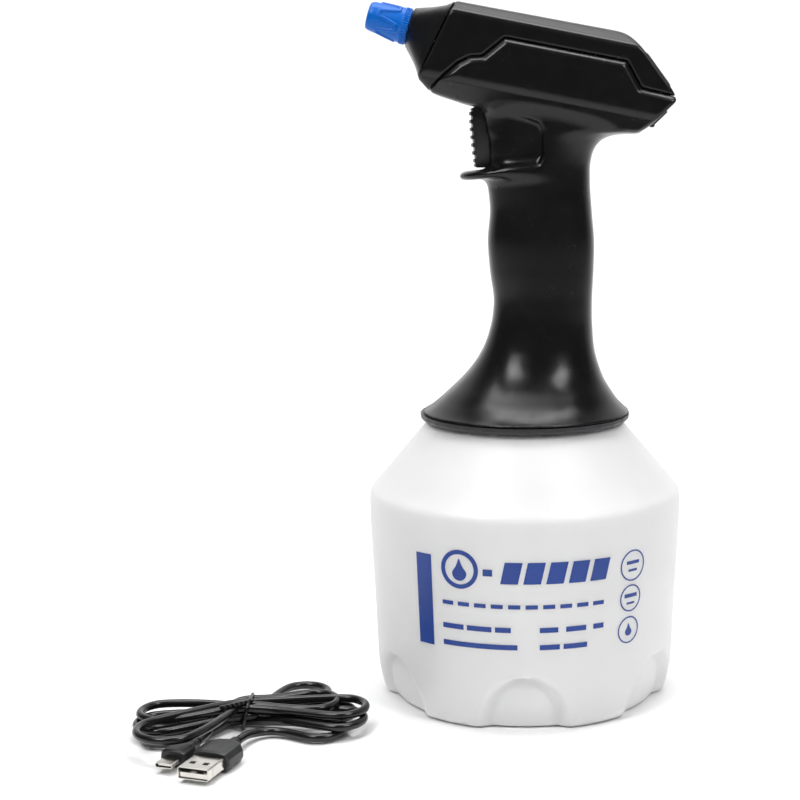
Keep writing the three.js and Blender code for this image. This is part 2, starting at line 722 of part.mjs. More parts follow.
function circuitBoard() {
  const board = box(1.6, 24, 22, 10.8, 0, 220);
  const chip = box(1.4, 6, 6, 9.5, -4, 222);
  const inductor = box(4, 7, 7, 13.2, 5, 222);
  const connector = box(5, 8, 4.4, 13.6, -5, 215);
  return join(board, chip, inductor, connector);
}

function buttonBoard() {
  const board = extruded(roundedRectangle(13, 22, 1), 1.2).translate(-1, 0, -8.6);
  const tactileSwitch = box(4, 5, 2.3, 3.4, 0, -6.35);
  return join(board, tactileSwitch);
}

function powerButton() {
  return turned([[0, -4], [1.6, -4], [1.6, -2.4], [3.9, -2.4], [3.9, 1.2], [3.2, 1.8], [0, 2]], 16)
    .translate(3.4, 0, 0);
}

function indicatorPanel() {
  const panel = extruded(roundedRectangle(15.8, 24.8, 2.1), 1.2, [
    circlePoints(4.3, 16, 3.4, 0),
    ...[-1, 0, 1].map((i) => circlePoints(1.5, 8, -4.6, 5 * i)),
  ]);
  return panel.translate(0, 0, -0.2);
}

function usbSocket() {
  const outside = roundedRectangle(3, 8, 0.6);
  const inside = roundedRectangle(2.2, 7.2, 0.4);
  const shell = extruded(outside, 5.4, [inside]).translate(0, 0, -7.6);
  const back = extruded(outside, 0.8).translate(0, 0, -8.2);
  const tongue = box(0.7, 5.4, 4.2, 0, 0, -5.6);
  return join(shell, back, tongue);
}

function portCover() {
  const plate = extruded(roundedRectangle(7.4, 12.6, 1.4), 1).translate(0, 0, 0.35);
  const plug = extruded(roundedRectangle(2.2, 7.6, 0.7), 1.6).translate(-0.4, 0, -0.9);
  const barrel = rod(0.8, -4.4, 4.4, 12).rotateX(Math.PI / 2).translate(4, 0, 1.1);
  return join(plate, plug, barrel);
}

// ---- pump and motor, in the head's frame ----

function gearOutline(turn) {
  const pitchRadius = (GEAR_TEETH * GEAR_MODULE) / 2;
  const baseRadius = pitchRadius * Math.cos(GEAR_PRESSURE_ANGLE);
  const outerRadius = pitchRadius + 0.8 * GEAR_MODULE;
  const rootRadius = pitchRadius - 1.1 * GEAR_MODULE;
  const involute = (angle) => Math.tan(angle) - angle;
  const halfPitchAngle = Math.PI / (2 * GEAR_TEETH) - GEAR_BACKLASH / (2 * pitchRadius);
  const halfAngle = (radius) => {
    const pressure = radius > baseRadius ? Math.acos(baseRadius / radius) : 0;
    return halfPitchAngle + involute(GEAR_PRESSURE_ANGLE) - involute(pressure);
  };
  const flank = [rootRadius, 3.75, 4.2, outerRadius];
  const points = [];
  for (let tooth = 0; tooth < GEAR_TEETH; tooth++) {
    const centre = turn + (tooth / GEAR_TEETH) * 2 * Math.PI;
    const rising = flank.map((radius) => [radius, centre - halfAngle(radius)]);
    const falling = flank.map((radius) => [radius, centre + halfAngle(radius)]).reverse();
    [...rising, ...falling].forEach(([radius, angle]) => {
      points.push([radius * Math.cos(angle), radius * Math.sin(angle)]);
    });
  }
  return points;
}

function pumpGear(turn, bore, centreZ) {
  return bar(gearOutline(turn), GEAR_WIDTH, [circlePoints(bore, 12)]).translate(-0.6, 0, centreZ);
}

function pumpHousing() {
  const block = bar(roundedRectangle(17, 24, 3), 9.6).translate(-4, 0, -4);
  const chambers = [0, -GEAR_DISTANCE].map((z) => bar(circlePoints(5.15, 20), 12).translate(-1, 0, z));
  const inletBore = rod(1.2, -19, -4, 10).translate(1, 4.6, 0);
  const inletNipple = pipe(1.9, 1.2, -18.4, -15.8, 10).translate(1, 4.6, 0);
  const outletBore = bar(circlePoints(1.1, 10), 6).translate(-8, -4.2, -4);
  const outletNipple = bar(circlePoints(1.7, 10), 4, [circlePoints(1.1, 10)]).translate(-7.8, -4.2, -4);
  return cut(join(block, inletNipple, outletNipple), ...chambers, inletBore, outletBore);
}

function pumpCover() {
  const outline = roundedRectangle(17, 24, 3).map(([y, z]) => [y, z - 4]);
  return bar(outline, 2.2, [circlePoints(1.35, 16)]).translate(5.9, 0, 0);
}

function motorShaft() {
  return rod(1, 0, 26, 16).rotateY(Math.PI / 2).translate(-0.6, 0, 0);
}

function motorCan() {
  const can = turned([
    [1.4, 0], [3.4, 0], [3.4, 1], [MOTOR_RADIUS - 0.8, 1], [MOTOR_RADIUS, 1.8],
    [MOTOR_RADIUS, MOTOR_LENGTH - 0.6], [MOTOR_RADIUS - 0.6, MOTOR_LENGTH], [3, MOTOR_LENGTH],
    [3, MOTOR_LENGTH + 1.6], [0, MOTOR_LENGTH + 1.6], [0, 18], [1.4, 18], [1.4, 0],
  ], 20);
  return can.rotateY(Math.PI / 2).translate(8.6, 0, 0);
}

// ---- fasteners ----

function housingScrew() {
  const body = solidOf(turned([
    [0, 0], [2.8, 0], [2.8, 1.4], [2.2, 2], [0, 2],
  ], 12)).add(solidOf(rod(1.35, -SCREW_LENGTH, 0.1, 8)));
  const slotA = box(3.4, 0.7, 1.6, 0, 0, 1.7);
  const slotB = box(0.7, 3.4, 1.6, 0, 0, 1.7);
  return cut(body, slotA, slotB);
}

// ---- charging lead, lying on the floor beside the bottle ----

const LEAD_DIRECTION = Math.atan2(-0.954, -0.3);
const USB_A_REAR = new THREE.Vector3(-106.9, -78.8, 4);
const MICRO_REAR = new THREE.Vector3(-121.9, -78.4, 3.5);
const HANK_OUTLINE = [
  [-149, -70], [-142, -54], [-128, -43], [-112, -40.4], [-102, -40.4], [-98, -22], [-90, -12],
  [-79, -14], [-67, -28], [-60, -46], [-60, -62], [-68, -71], [-82, -74], [-94, -66],
  [-102, -60], [-112, -60], [-124, -72], [-138, -78], [-146, -77],
];
const HANK_BOTTOM = 0.9;
const HANK_HEIGHT = 9.4;
const TIE_CENTRE = [-107, -50.2, 5.6];

function leadGroup(position) {
  const group = new THREE.Group();
  group.position.copy(position);
  group.rotation.z = LEAD_DIRECTION;
  model.add(group);
  return group;
}

function overmould(length, width, thickness, neck) {
  const rings = [
    [0, neck, neck], [3, neck + 0.3, neck + 0.3], [6, width * 0.72, thickness * 0.86],
    [9, width, thickness], [length - 0.8, width, thickness], [length, width - 1, thickness - 1],
  ].map(([x, w, t]) => Array.from({ length: 20 }, (_, i) => {
    const angle = ((i + 0.5) / 20) * 2 * Math.PI;
    const [y, z] = superellipsePoint(angle, w / 2, t / 2, x < 5 ? 2 : 4);
    return new THREE.Vector3(x, y, z);
  }));
  return loft(rings);
}

function usbAShell() {
  const hole = roundedRectangle(11.4, 3.9, 0.3, 1);
  const wall = bar(roundedRectangle(12, 4.5, 0.5, 1), 12, [hole]).translate(20.5, 0, 0);
  const windows = [-1, 1].map((side) => box(2.4, 2.2, 8, 27.5, side * 2.6, 0));
  const tongue = box(11, 11.2, 1.9, 26.3, 0, -0.9);
  const shell = cut(solidOf(wall), ...windows);
  return shell.add(solidOf(tongue)).add(solidOf(box(0.6, 11.8, 4.2, 20.8, 0, 0)));
}

function microShell() {
  const hole = roundedRectangle(6.3, 1.3, 0.3, 1);
  const wall = bar(roundedRectangle(6.9, 1.9, 0.5, 1), 6.4, [hole]).translate(17, 0, 0);
  return join(wall, box(0.6, 6.5, 1.6, 17.3, 0, 0), box(5.4, 5, 0.5, 20, 0, 0));
}

function cableTie() {
  const hole = roundedRectangle(21, 10.1, 0.5, 1);
  const band = bar(roundedRectangle(22, 11.1, 1, 1), 4, [hole]).translate(-2, 0, 0);
  const twist = box(4, 1.4, 4, 0, -2, 7.2);
  return join(band, twist).translate(...TIE_CENTRE);
}

// ---- assembly ----

const housing = plastic(BLACK, 0.36);
const wholeLower = lowerHousing();
addPiece("bottle_shell", bottleShell(), translucent(0xf2f2f0, 0.9));
addPiece("bottle_neck", bottleNeck(), translucent(0xf2f2f0, 0.9));
addPiece("threaded_collar", threadedCollar(), plastic(BLACK, 0.4));
addPiece("collar_gasket", pipe(24.4, 20.5, 121.2, 122.7, 24), plastic(0x2c2c2e, 0.8));
addPiece("vent_valve", ventValve(), plastic(0xb8b8b4, 0.7));
addPiece("dip_fitting", dipFitting(), plastic(0xd8d8d4, 0.5));
addPiece("dip_tube", tube(DIP_ROUTE, 3.9, 3, 8, 12), translucent(0xe6e8e6, 0.7));
addPiece("suction_filter", suctionFilter(), plastic(0x3a3d42, 0.5));
addPiece("inlet_tube", tube(INLET_ROUTE, 3, 2.3, 8, 18), translucent(0xe6e8e6, 0.6));
addPiece("outlet_tube", tube(OUTLET_ROUTE, 2.7, 2, 8, 12), translucent(0xe6e8e6, 0.6));
addPiece("housing_left", housingHalf(wholeLower, -1), housing.clone());
addPiece("housing_right", housingHalf(wholeLower, 1), housing.clone());
addPiece("top_cover", topCover(), housing.clone());
addPiece("nose_cone", noseCone(), housing.clone());

addPiece("trigger", trigger(), plastic(0x101113, 0.6));
const pin = rod(PIN_RADIUS, -17, 17).rotateX(Math.PI / 2).translate(TRIGGER_PIVOT.x, 0, TRIGGER_PIVOT.z);
addPiece("trigger_pin", pin, metal(0xb9bcc0));
const spring = compressionSpring(1.9, 0.35, 7.6, 5).translate(-10.8, -0.6, 216.4);
addPiece("trigger_spring", spring, metal(0xa8abb0, 0.3));
addPiece("microswitch", microswitch(), plastic(0x24262a, 0.6));
addPiece("switch_bracket", box(1.4, 13.4, 24, -1.9, -5.6, 223), plastic(0x2a2c30, 0.6));

addPiece("battery_cell", batteryCell(), plastic(0x2f7a4a, 0.4));
addPiece("battery_cradle", batteryCradle(), plastic(0x2a2c30, 0.6));
addPiece("circuit_board", circuitBoard(), plastic(0x1c5a34, 0.5));

const LEADS = [["battery_lead_red", 3, 0xa01818], ["battery_lead_black", -3, 0x141414]];
LEADS.forEach(([name, y, colour]) => {
  const route = [[13, y, 202.2], [13.4, y * 1.4, 204.6], [12.8, y * 1.7, 208.4]];
  addPiece(name, tube(route, 0.8, 0, 6, 6), plastic(colour, 0.5));
});

const rearPanel = frameGroup(REAR_PANEL_FRAME);
addPiece("button_board", buttonBoard(), plastic(0x1c5a34, 0.5), rearPanel);
addPiece("power_button", powerButton(), plastic(0x1b1c1f, 0.5), rearPanel);
addPiece("indicator_panel", indicatorPanel(), plastic(0x0e0f11, 0.25), rearPanel);
for (let i = 0; i < 3; i++) {
  const lens = rod(1.25, -3, 0.9, 8).translate(-4.6, 5 * (i - 1), 0);
  addPiece(`indicator_lens_${i + 1}`, lens, translucent(0xdfe8ff, 0.8), rearPanel);
}

const port = frameGroup(PORT_FRAME);
addPiece("usb_socket", usbSocket(), metal(0xc4c6c9, 0.3), port);
addPiece("usb_port_cover", portCover(), plastic(0x151618, 0.75), port);

const head = frameGroup(HEAD_FRAME);
addPiece("pump_housing", pumpHousing(), plastic(0x3b3e44, 0.5), head);
addPiece("pump_cover", pumpCover(), plastic(0x44474d, 0.5), head);
addPiece("motor_can", motorCan(), metal(0xb4b7bb, 0.4), head);
addPiece("motor_shaft", motorShaft(), metal(0xd0d2d5, 0.2), head);
addPiece("pump_drive_gear", pumpGear(-Math.PI / 2, 1.06, 0), plastic(0xe8e4d8, 0.5), head);
const idlerTurn = Math.PI / 2 + Math.PI / GEAR_TEETH;
addPiece("pump_idler_gear", pumpGear(idlerTurn, 1.12, -GEAR_DISTANCE), plastic(0xe8e4d8, 0.5), head);
const idlerPin = rod(1, -0.7, 5.7, 16).rotateY(Math.PI / 2).translate(0, 0, -GEAR_DISTANCE);
addPiece("idler_pin", idlerPin, metal(0xd0d2d5, 0.2), head);

const nozzle = frameGroup(NOZZLE_FRAME);
addPiece("nozzle_tube", nozzleTube(), plastic(0xd8d8d4, 0.5), nozzle);
const sealRing = turned(circlePoints(0.42, 8, 4.1, 6).concat([[4.52, 6]]), 16);
addPiece("nozzle_o_ring", sealRing, plastic(0x1a1a1a, 0.8), nozzle);
addPiece("swirl_core", rod(2.6, 12.9, 14.8, 16), plastic(0xc8ccd4, 0.5), nozzle);
addPiece("nozzle_cap", nozzleCap(), plastic(CAP_BLUE, 0.35), nozzle);

SCREWS.forEach(([x, z, out], i) => {
  const screw = addPiece(`housing_screw_${i + 1}`, housingScrew(), metal(0x8d9095, 0.4));
  screw.position.set(x, out - 2, z);
  screw.rotation.x = -Math.PI / 2;
});

addPiece("charging_cable_hank", extruded(HANK_OUTLINE, HANK_HEIGHT).translate(0, 0, HANK_BOTTOM),
  plastic(0x121214, 0.5));
addPiece("cable_tie", cableTie(), plastic(0x0c0c0d, 0.6));
const usbA = leadGroup(USB_A_REAR);
addPiece("usb_a_plug", overmould(20.2, 15.2, 7.8, 4.4), plastic(0x141416, 0.5), usbA);
addPiece("usb_a_shell", usbAShell(), metal(0xc9cbce, 0.25), usbA);
const micro = leadGroup(MICRO_REAR);
addPiece("micro_usb_plug", overmould(16.7, 10.6, 6.6, 4.2), plastic(0x141416, 0.5), micro);
addPiece("micro_usb_shell", microShell(), metal(0xc9cbce, 0.25), micro);

export default model;
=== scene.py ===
"""Battery trigger sprayer: the visual model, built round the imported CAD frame.

Sizes are in millimetres, in the CAD model's own frame, and turned into metres as each mesh is made.
"""
import math

import bmesh
import bpy
import numpy as np
from mathutils import Matrix, Vector


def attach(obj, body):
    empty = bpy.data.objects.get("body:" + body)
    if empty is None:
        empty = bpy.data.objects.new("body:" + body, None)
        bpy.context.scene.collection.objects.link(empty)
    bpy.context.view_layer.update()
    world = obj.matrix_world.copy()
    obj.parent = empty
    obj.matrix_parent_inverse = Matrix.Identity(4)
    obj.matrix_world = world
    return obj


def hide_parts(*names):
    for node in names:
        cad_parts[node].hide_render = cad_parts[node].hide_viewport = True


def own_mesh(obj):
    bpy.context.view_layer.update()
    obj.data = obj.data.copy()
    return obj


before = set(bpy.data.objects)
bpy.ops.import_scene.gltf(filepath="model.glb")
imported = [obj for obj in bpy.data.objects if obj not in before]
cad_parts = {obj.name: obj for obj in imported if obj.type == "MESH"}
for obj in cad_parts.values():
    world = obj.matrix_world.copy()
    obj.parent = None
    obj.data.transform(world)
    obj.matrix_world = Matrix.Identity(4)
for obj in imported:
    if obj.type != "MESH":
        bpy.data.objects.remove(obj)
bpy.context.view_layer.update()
MM = 0.001
BLACK = (0.004, 0.004, 0.0046)

# ---- camera ----

CAMERA_PLACE = (0, -658, 225)
CAMERA_PITCH = 9.1  # degrees below level
FOCAL_LENGTH = 73.8
SENSOR_WIDTH = 36
VIEW_SHIFT = -0.156  # the sprayer stands right of the picture's middle


def add_camera():
    data = bpy.data.cameras.new("camera")
    data.lens = FOCAL_LENGTH
    data.sensor_width = SENSOR_WIDTH
    data.shift_x = VIEW_SHIFT
    camera = bpy.data.objects.new("camera", data)
    camera.location = [MM * c for c in CAMERA_PLACE]
    camera.rotation_euler = (math.radians(90 - CAMERA_PITCH), 0, 0)
    bpy.context.scene.collection.objects.link(camera)
    bpy.context.scene.camera = camera


add_camera()


# ---- materials ----

class Nodes:
    """A new material's node tree, with short ways to add and join nodes."""

    def __init__(self, name):
        self.material = bpy.data.materials.new(name)
        self.material.use_nodes = True
        self.tree = self.material.node_tree
        self.shader = self.tree.nodes["Principled BSDF"]
        self.place = self.tree.nodes.new("ShaderNodeTexCoord").outputs["Object"]

    def add(self, kind, **values):
        node = self.tree.nodes.new("ShaderNode" + kind)
        for key, value in values.items():
            setattr(node, key, value)
        return node

    def join(self, start, end):
        self.tree.links.new(start, end)

    def noise(self, scale, detail=3.0, stretch=(1, 1, 1)):
        mapping = self.add("Mapping")
        mapping.inputs["Scale"].default_value = stretch
        noise = self.add("TexNoise")
        noise.inputs["Scale"].default_value = scale
        noise.inputs["Detail"].default_value = detail
        self.join(self.place, mapping.inputs["Vector"])
        self.join(mapping.outputs["Vector"], noise.inputs["Vector"])
        return noise.outputs["Fac"]

    def ranged(self, value, low, high, start=0.3, end=0.7):
        node = self.add("MapRange")
        node.inputs["From Min"].default_value = start
        node.inputs["From Max"].default_value = end
        node.inputs["To Min"].default_value = low
        node.inputs["To Max"].default_value = high
        self.join(value, node.inputs["Value"])
        return node.outputs["Result"]

    def mixed(self, factor, dark, light):
        node = self.add("Mix", data_type="RGBA")
        node.inputs["A"].default_value = (*dark, 1)
        node.inputs["B"].default_value = (*light, 1)
        self.join(factor, node.inputs["Factor"])
        return node.outputs["Result"]

    def bump(self, height, strength, distance):
        node = self.add("Bump")
        node.inputs["Strength"].default_value = strength
        node.inputs["Distance"].default_value = distance
        self.join(height, node.inputs["Height"])
        self.join(node.outputs["Normal"], self.shader.inputs["Normal"])

    def set(self, **values):
        for key, value in values.items():
            self.shader.inputs[key.replace("_", " ")].default_value = value


def moulded(
    name, colour, roughness, grain=2500, depth=0.00002, strength=0.25, variation=0.12, stretch=(1, 1, 1),
    **shader,
):
    """Plastic, rubber or metal: colour and roughness vary slowly, and a fine grain is in the bump."""
    n = Nodes(name)
    slow = n.ranged(n.noise(45, stretch=stretch), 0, 1)
    dark = [c * (1 - variation) for c in colour]
    light = [min(1, c * (1 + variation)) for c in colour]
    n.join(n.mixed(slow, dark, light), n.shader.inputs["Base Color"])
    fine = n.noise(grain, 2, stretch)
    patchy = n.noise(160, 4, stretch)
    n.join(n.ranged(patchy, roughness * 0.86, roughness * 1.16), n.shader.inputs["Roughness"])
    n.bump(fine, strength, depth)
    n.set(**shader)
    return n.material


def bottle_material():
    """Milky blow-moulded polyethylene."""
    n = Nodes("milky_plastic")
    cloud = n.ranged(n.noise(28, 2), 0, 1)
    n.join(n.mixed(cloud, (0.9, 0.9, 0.898), (0.95, 0.95, 0.95)), n.shader.inputs["Base Color"])
    n.join(n.ranged(n.noise(120, 4), 0.3, 0.42), n.shader.inputs["Roughness"])
    n.bump(n.noise(420, 3), 0.12, 0.00012)
    n.set(Subsurface_Weight=0.65, Subsurface_Radius=(1, 1, 1), Subsurface_Scale=0.006, IOR=1.5)
    return n.material


def clear_material(name, colour, transmission):
    n = Nodes(name)
    tint = n.ranged(n.noise(90), 0, 1)
    n.join(n.mixed(tint, [c * 0.93 for c in colour], colour), n.shader.inputs["Base Color"])
    n.join(n.ranged(n.noise(300), 0.12, 0.22), n.shader.inputs["Roughness"])
    n.bump(n.noise(900), 0.1, 0.00003)
    n.set(Transmission_Weight=transmission, IOR=1.45)
    return n.material


MATERIALS = {
    "bottle": bottle_material(),
    "housing": moulded(
        "housing_plastic", BLACK, 0.24, grain=1900, depth=0.00001, strength=0.06, Specular_IOR_Level=0.36,
    ),
    "collar": moulded("collar_plastic", (0.018, 0.018, 0.02), 0.42),
    "trigger": moulded("trigger_plastic", (0.006, 0.006, 0.0068), 0.4),
    "blue": moulded(
        "nozzle_plastic", (0.0, 0.125, 0.54), 0.32, variation=0.06, strength=0.08, Specular_IOR_Level=0.25,
    ),
    "inner": moulded("inner_plastic", (0.045, 0.047, 0.052), 0.5),
    "natural": moulded(
        "natural_plastic", (0.74, 0.73, 0.68), 0.38, Subsurface_Weight=0.2, Subsurface_Scale=0.002,
    ),
    "seal": moulded("seal_rubber", (0.02, 0.02, 0.02), 0.75, strength=0.4),
    "steel": moulded("bright_steel", (0.66, 0.67, 0.69), 0.24, grain=700, stretch=(12, 1, 1), Metallic=1.0),
    "screw": moulded("screw_steel", (0.42, 0.43, 0.45), 0.34, grain=900, Metallic=1.0),
    "collar_gloss": moulded("button_plastic", (0.02, 0.02, 0.022), 0.3),
    "cell": moulded("cell_sleeve", (0.02, 0.2, 0.08), 0.3, strength=0.1),
    "board": moulded("board_mask", (0.012, 0.11, 0.045), 0.35, grain=1200),
    "panel": moulded("panel_gloss", (0.02, 0.02, 0.022), 0.48, grain=1500, depth=0.00008, strength=0.7),
    "cable": moulded("cable_vinyl", (0.005, 0.005, 0.0055), 0.22, grain=1400, strength=0.08),
    "plug": moulded("plug_plastic", (0.012, 0.012, 0.0135), 0.43, grain=2200, depth=0.00006, strength=0.6),
    "plug_steel": moulded("plug_steel", (0.62, 0.6, 0.56), 0.2, grain=600, stretch=(1, 9, 1), Metallic=1.0),
    "red": moulded("lead_red", (0.4, 0.015, 0.012), 0.42),
    "print": moulded("print_blue", (0.004, 0.042, 0.27), 0.34, variation=0.1),
    "clear": clear_material("clear_tube", (0.9, 0.91, 0.89), 0.85),
    "lens": clear_material("lens", (0.82, 0.88, 0.98), 0.6),
}


# ---- making meshes ----

def new_object(name, points, faces, material, body):
    """A mesh object from points in millimetres, riding on a body."""
    mesh = bpy.data.meshes.new(name)
    mesh.from_pydata([tuple(MM * c for c in p) for p in points], [], [tuple(f) for f in faces])
    mesh.validate()
    mesh.polygons.foreach_set("use_smooth", [True] * len(mesh.polygons))
    made = bpy.data.objects.new(name, mesh)
    bpy.context.scene.collection.objects.link(made)
    mesh.materials.append(MATERIALS[material])
    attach(made, body)
    return made


def crease(made, degrees):
    """Edges sharper than this shade as edges."""
    mesh = made.data
    work = bmesh.new()
    work.from_mesh(mesh)
    bmesh.ops.recalc_face_normals(work, faces=work.faces)
    limit = math.radians(degrees)
    for edge in work.edges:
        if len(edge.link_faces) == 2 and edge.calc_face_angle() > limit:
            edge.smooth = False
    work.to_mesh(mesh)
    work.free()
    return made


def ring_faces(rings, count, capped=True):
    """Faces between successive rings of equal count, with end caps."""
    faces = []
    for r in range(rings - 1):
        for i in range(count):
            j = (i + 1) % count
            faces.append((r * count + i, r * count + j, (r + 1) * count + j, (r + 1) * count + i))
    if capped:
        faces.append(tuple(reversed(range(count))))
        faces.append(tuple((rings - 1) * count + i for i in range(count)))
    return faces


# ---- charging lead, lying on the floor ----

CORD_DIAMETER = 3.2
LEAD_ANGLE = math.atan2(-0.954, -0.3)
LEAD_AXIS = Vector((math.cos(LEAD_ANGLE), math.sin(LEAD_ANGLE), 0))
USB_A_REAR = Vector((-106.9, -78.8, 4))
MICRO_REAR = Vector((-121.9, -78.4, 3.5))
TIE_PLACE = Vector((-107, -50.2, 5.6))

# The hank's end folds, in the order the cord takes them: tip x and y, half width, height.
RIGHT_FOLDS = [
    (-69, -64, 10, 2.4), (-61.5, -60, 10.4, 5.6), (-84.5, -11, 10, 2.4),
    (-66, -50, 10, 5.2), (-61, -54.5, 10.6, 8.6), (-73, -44, 10, 8.2),
]
LEFT_FOLDS = [
    (-145, -58, 10, 2.4), (-146.8, -66, 10, 5.4), (-143, -72, 10, 2.4), (-146.6, -61, 10, 8.4),
    (-138.5, -90, 12.5, 9.6),
]
FOLD_STEPS = 7
TIE_COLUMNS = [(-5.1, -1.7), (1.7, 5.1)]  # across the tie: cord heading right, and cord heading left
TIE_ROWS = [2.6, 5.7, 8.8]
TIE_HALF_LENGTH = 4


def fold_points(tip_x, tip_y, half_width, height):
    """Round one end of the hank, anticlockwise. The tie is the waist that both ends lead away from."""
    tip = Vector((tip_x, tip_y, height))
    waist = Vector((TIE_PLACE.x, TIE_PLACE.y, height))
    along = (tip - waist).normalized()
    across = Vector((-along.y, along.x, 0))
    centre = tip - along * half_width
    points = []
    for step in range(FOLD_STEPS + 1):
        angle = math.pi * step / FOLD_STEPS - math.pi / 2
        points.append(centre + along * half_width * math.cos(angle) + across * half_width * math.sin(angle))
    middle = waist.lerp(centre, 0.5)
    return [middle - across * half_width * 0.6, *points, middle + across * half_width * 0.6]


def through_tie(passing):
    """One pass through the tie, each in a place of its own."""
    way, turn = passing % 2, passing // 2
    column, row = TIE_COLUMNS[way][turn % 2], TIE_ROWS[turn // 2]
    ends = [-TIE_HALF_LENGTH, TIE_HALF_LENGTH] if way == 0 else [TIE_HALF_LENGTH, -TIE_HALF_LENGTH]
    return [Vector((TIE_PLACE.x + end, TIE_PLACE.y + column, row)) for end in ends]


def lead_route():
    """The cord's centreline from the USB-A plug, through the hank, to the small plug."""
    leave = USB_A_REAR - LEAD_AXIS * 1.5
    points = [leave, leave - LEAD_AXIS * 6, Vector((-103.6, -67.5, 3))]
    passing = 0
    for index, right in enumerate(RIGHT_FOLDS):
        if passing:
            points += through_tie(passing)
        points += fold_points(*right)
        points += through_tie(passing + 1)
        if index < len(LEFT_FOLDS):
            points += fold_points(*LEFT_FOLDS[index])
        passing += 2
    back = MICRO_REAR - LEAD_AXIS * 1.5
    points += [Vector((-116.5, -50, 6)), Vector((-119.6, -57, 4.6))]
    return points + [back - LEAD_AXIS * 9, back - LEAD_AXIS * 3, back]


def smooth_curve(name, route, radius, material):
    """A tube along one spline through the route's points."""
    data = bpy.data.curves.new(name, "CURVE")
    data.dimensions = "3D"
    data.bevel_depth = radius * MM
    data.bevel_resolution = 6
    data.use_fill_caps = True
    spline = data.splines.new("NURBS")
    spline.points.add(len(route) - 1)
    for point, place in zip(spline.points, route):
        point.co = (place.x * MM, place.y * MM, place.z * MM, 1)
    spline.order_u = 4
    spline.use_endpoint_u = True
    spline.resolution_u = 6
    data.materials.append(MATERIALS[material])
    made = bpy.data.objects.new(name, data)
    bpy.context.scene.collection.objects.link(made)
    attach(made, "charging_lead")
    return made


TIE_WIRE = 0.55
TIE_HALF_WIDTH = 7.9
TWIST_TURNS = 3.5


def twist_point(share, side):
    """The tie's two ends, twisted together, lie across the cord."""
    start, end = Vector((-104.6, -53.5, 11.1)), Vector((-115.5, -62.5, 11.3))
    axis = (end - start).normalized()
    across = Vector((-axis.y, axis.x, 0))
    angle = TWIST_TURNS * 2 * math.pi * share + side * math.pi
    swing = across * math.cos(angle) + axis.cross(across) * math.sin(angle)
    return start.lerp(end, share) + swing * TIE_WIRE * 0.95


def make_tie():
    """A wire tie: one loop round the bundle, its ends twisted together."""
    loop = []
    for step in range(33):
        angle = 2 * math.pi * step / 32 - 0.5 * math.pi
        flat = (abs(math.cos(angle)) ** 4 + abs(math.sin(angle)) ** 4) ** -0.25
        loop.append(Vector((
            TIE_PLACE.x + 1.2 * math.sin(angle),
            TIE_PLACE.y + TIE_HALF_WIDTH * flat * math.cos(angle),
            max(TIE_WIRE + 0.3, 5.7 + 5.4 * flat * math.sin(angle)),
        )))
    ends = []
    for side in (0, 1):
        route = [twist_point(i / 24, side) for i in range(25)]
        ends.append(smooth_curve(f"tie_end_{side + 1}", route, TIE_WIRE, "cable"))
    band = smooth_curve("tie_loop", loop, TIE_WIRE + 0.15, "cable")
    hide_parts("cable_tie")
    return [band, *ends]


def make_cord():
    cord = smooth_curve("charging_cord", lead_route(), CORD_DIAMETER / 2, "cable")
    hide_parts("charging_cable_hank")
    on_it = ["usb_a_plug", "usb_a_shell", "micro_usb_plug", "micro_usb_shell", *make_tie()]


make_cord()


# ---- smooth solids from distance fields ----

def smooth_max(a, b, k):
    """The greater of two distances, with the corner between them rounded over k."""
    h = np.clip(0.5 + 0.5 * (a - b) / k, 0, 1)
    return b + (a - b) * h + k * h * (1 - h)


def smooth_min(a, b, k):
    return -smooth_max(-a, -b, k)


def half_plane(points, index, u, v):
    """Distance outside one edge of a clockwise outline."""
    (u0, v0), (u1, v1) = points[index], points[(index + 1) % len(points)]
    length = math.hypot(u1 - u0, v1 - v0)
    return (-(v1 - v0) * (u - u0) + (u1 - u0) * (v - v0)) / length


def convex(points, u, v, k):
    """Distance to a convex clockwise outline, its corners rounded over k."""
    distance = half_plane(points, 0, u, v)
    for index in range(1, len(points)):
        distance = smooth_max(distance, half_plane(points, index, u, v), k)
    return distance


def outline_distance(points, u, v):
    """Signed distance to any closed outline, negative inside."""
    nearest = np.full(np.broadcast(u, v).shape, 1e9)
    inside = np.zeros(nearest.shape, bool)
    for (u0, v0), (u1, v1) in zip(points, points[1:] + points[:1]):
        du, dv = u1 - u0, v1 - v0
        t = np.clip(((u - u0) * du + (v - v0) * dv) / (du * du + dv * dv), 0, 1)
        nearest = np.minimum(nearest, (u - u0 - t * du) ** 2 + (v - v0 - t * dv) ** 2)
        if dv:
            crosses = (v0 > v) != (v1 > v)
            inside ^= crosses & (u < u0 + (v - v0) * du / dv)
    return np.where(inside, -1, 1) * np.sqrt(nearest)


def rounded_box(u, v, half_u, half_v, radius):
    """Signed distance to a rectangle with round corners, about the origin."""
    a = np.abs(u) - half_u + radius
    b = np.abs(v) - half_v + radius
    return np.hypot(np.maximum(a, 0), np.maximum(b, 0)) + np.minimum(np.maximum(a, b), 0) - radius


EDGE_ENDS = [(a, a + bit) for bit in (1, 2, 4) for a in range(8) if not a & bit]


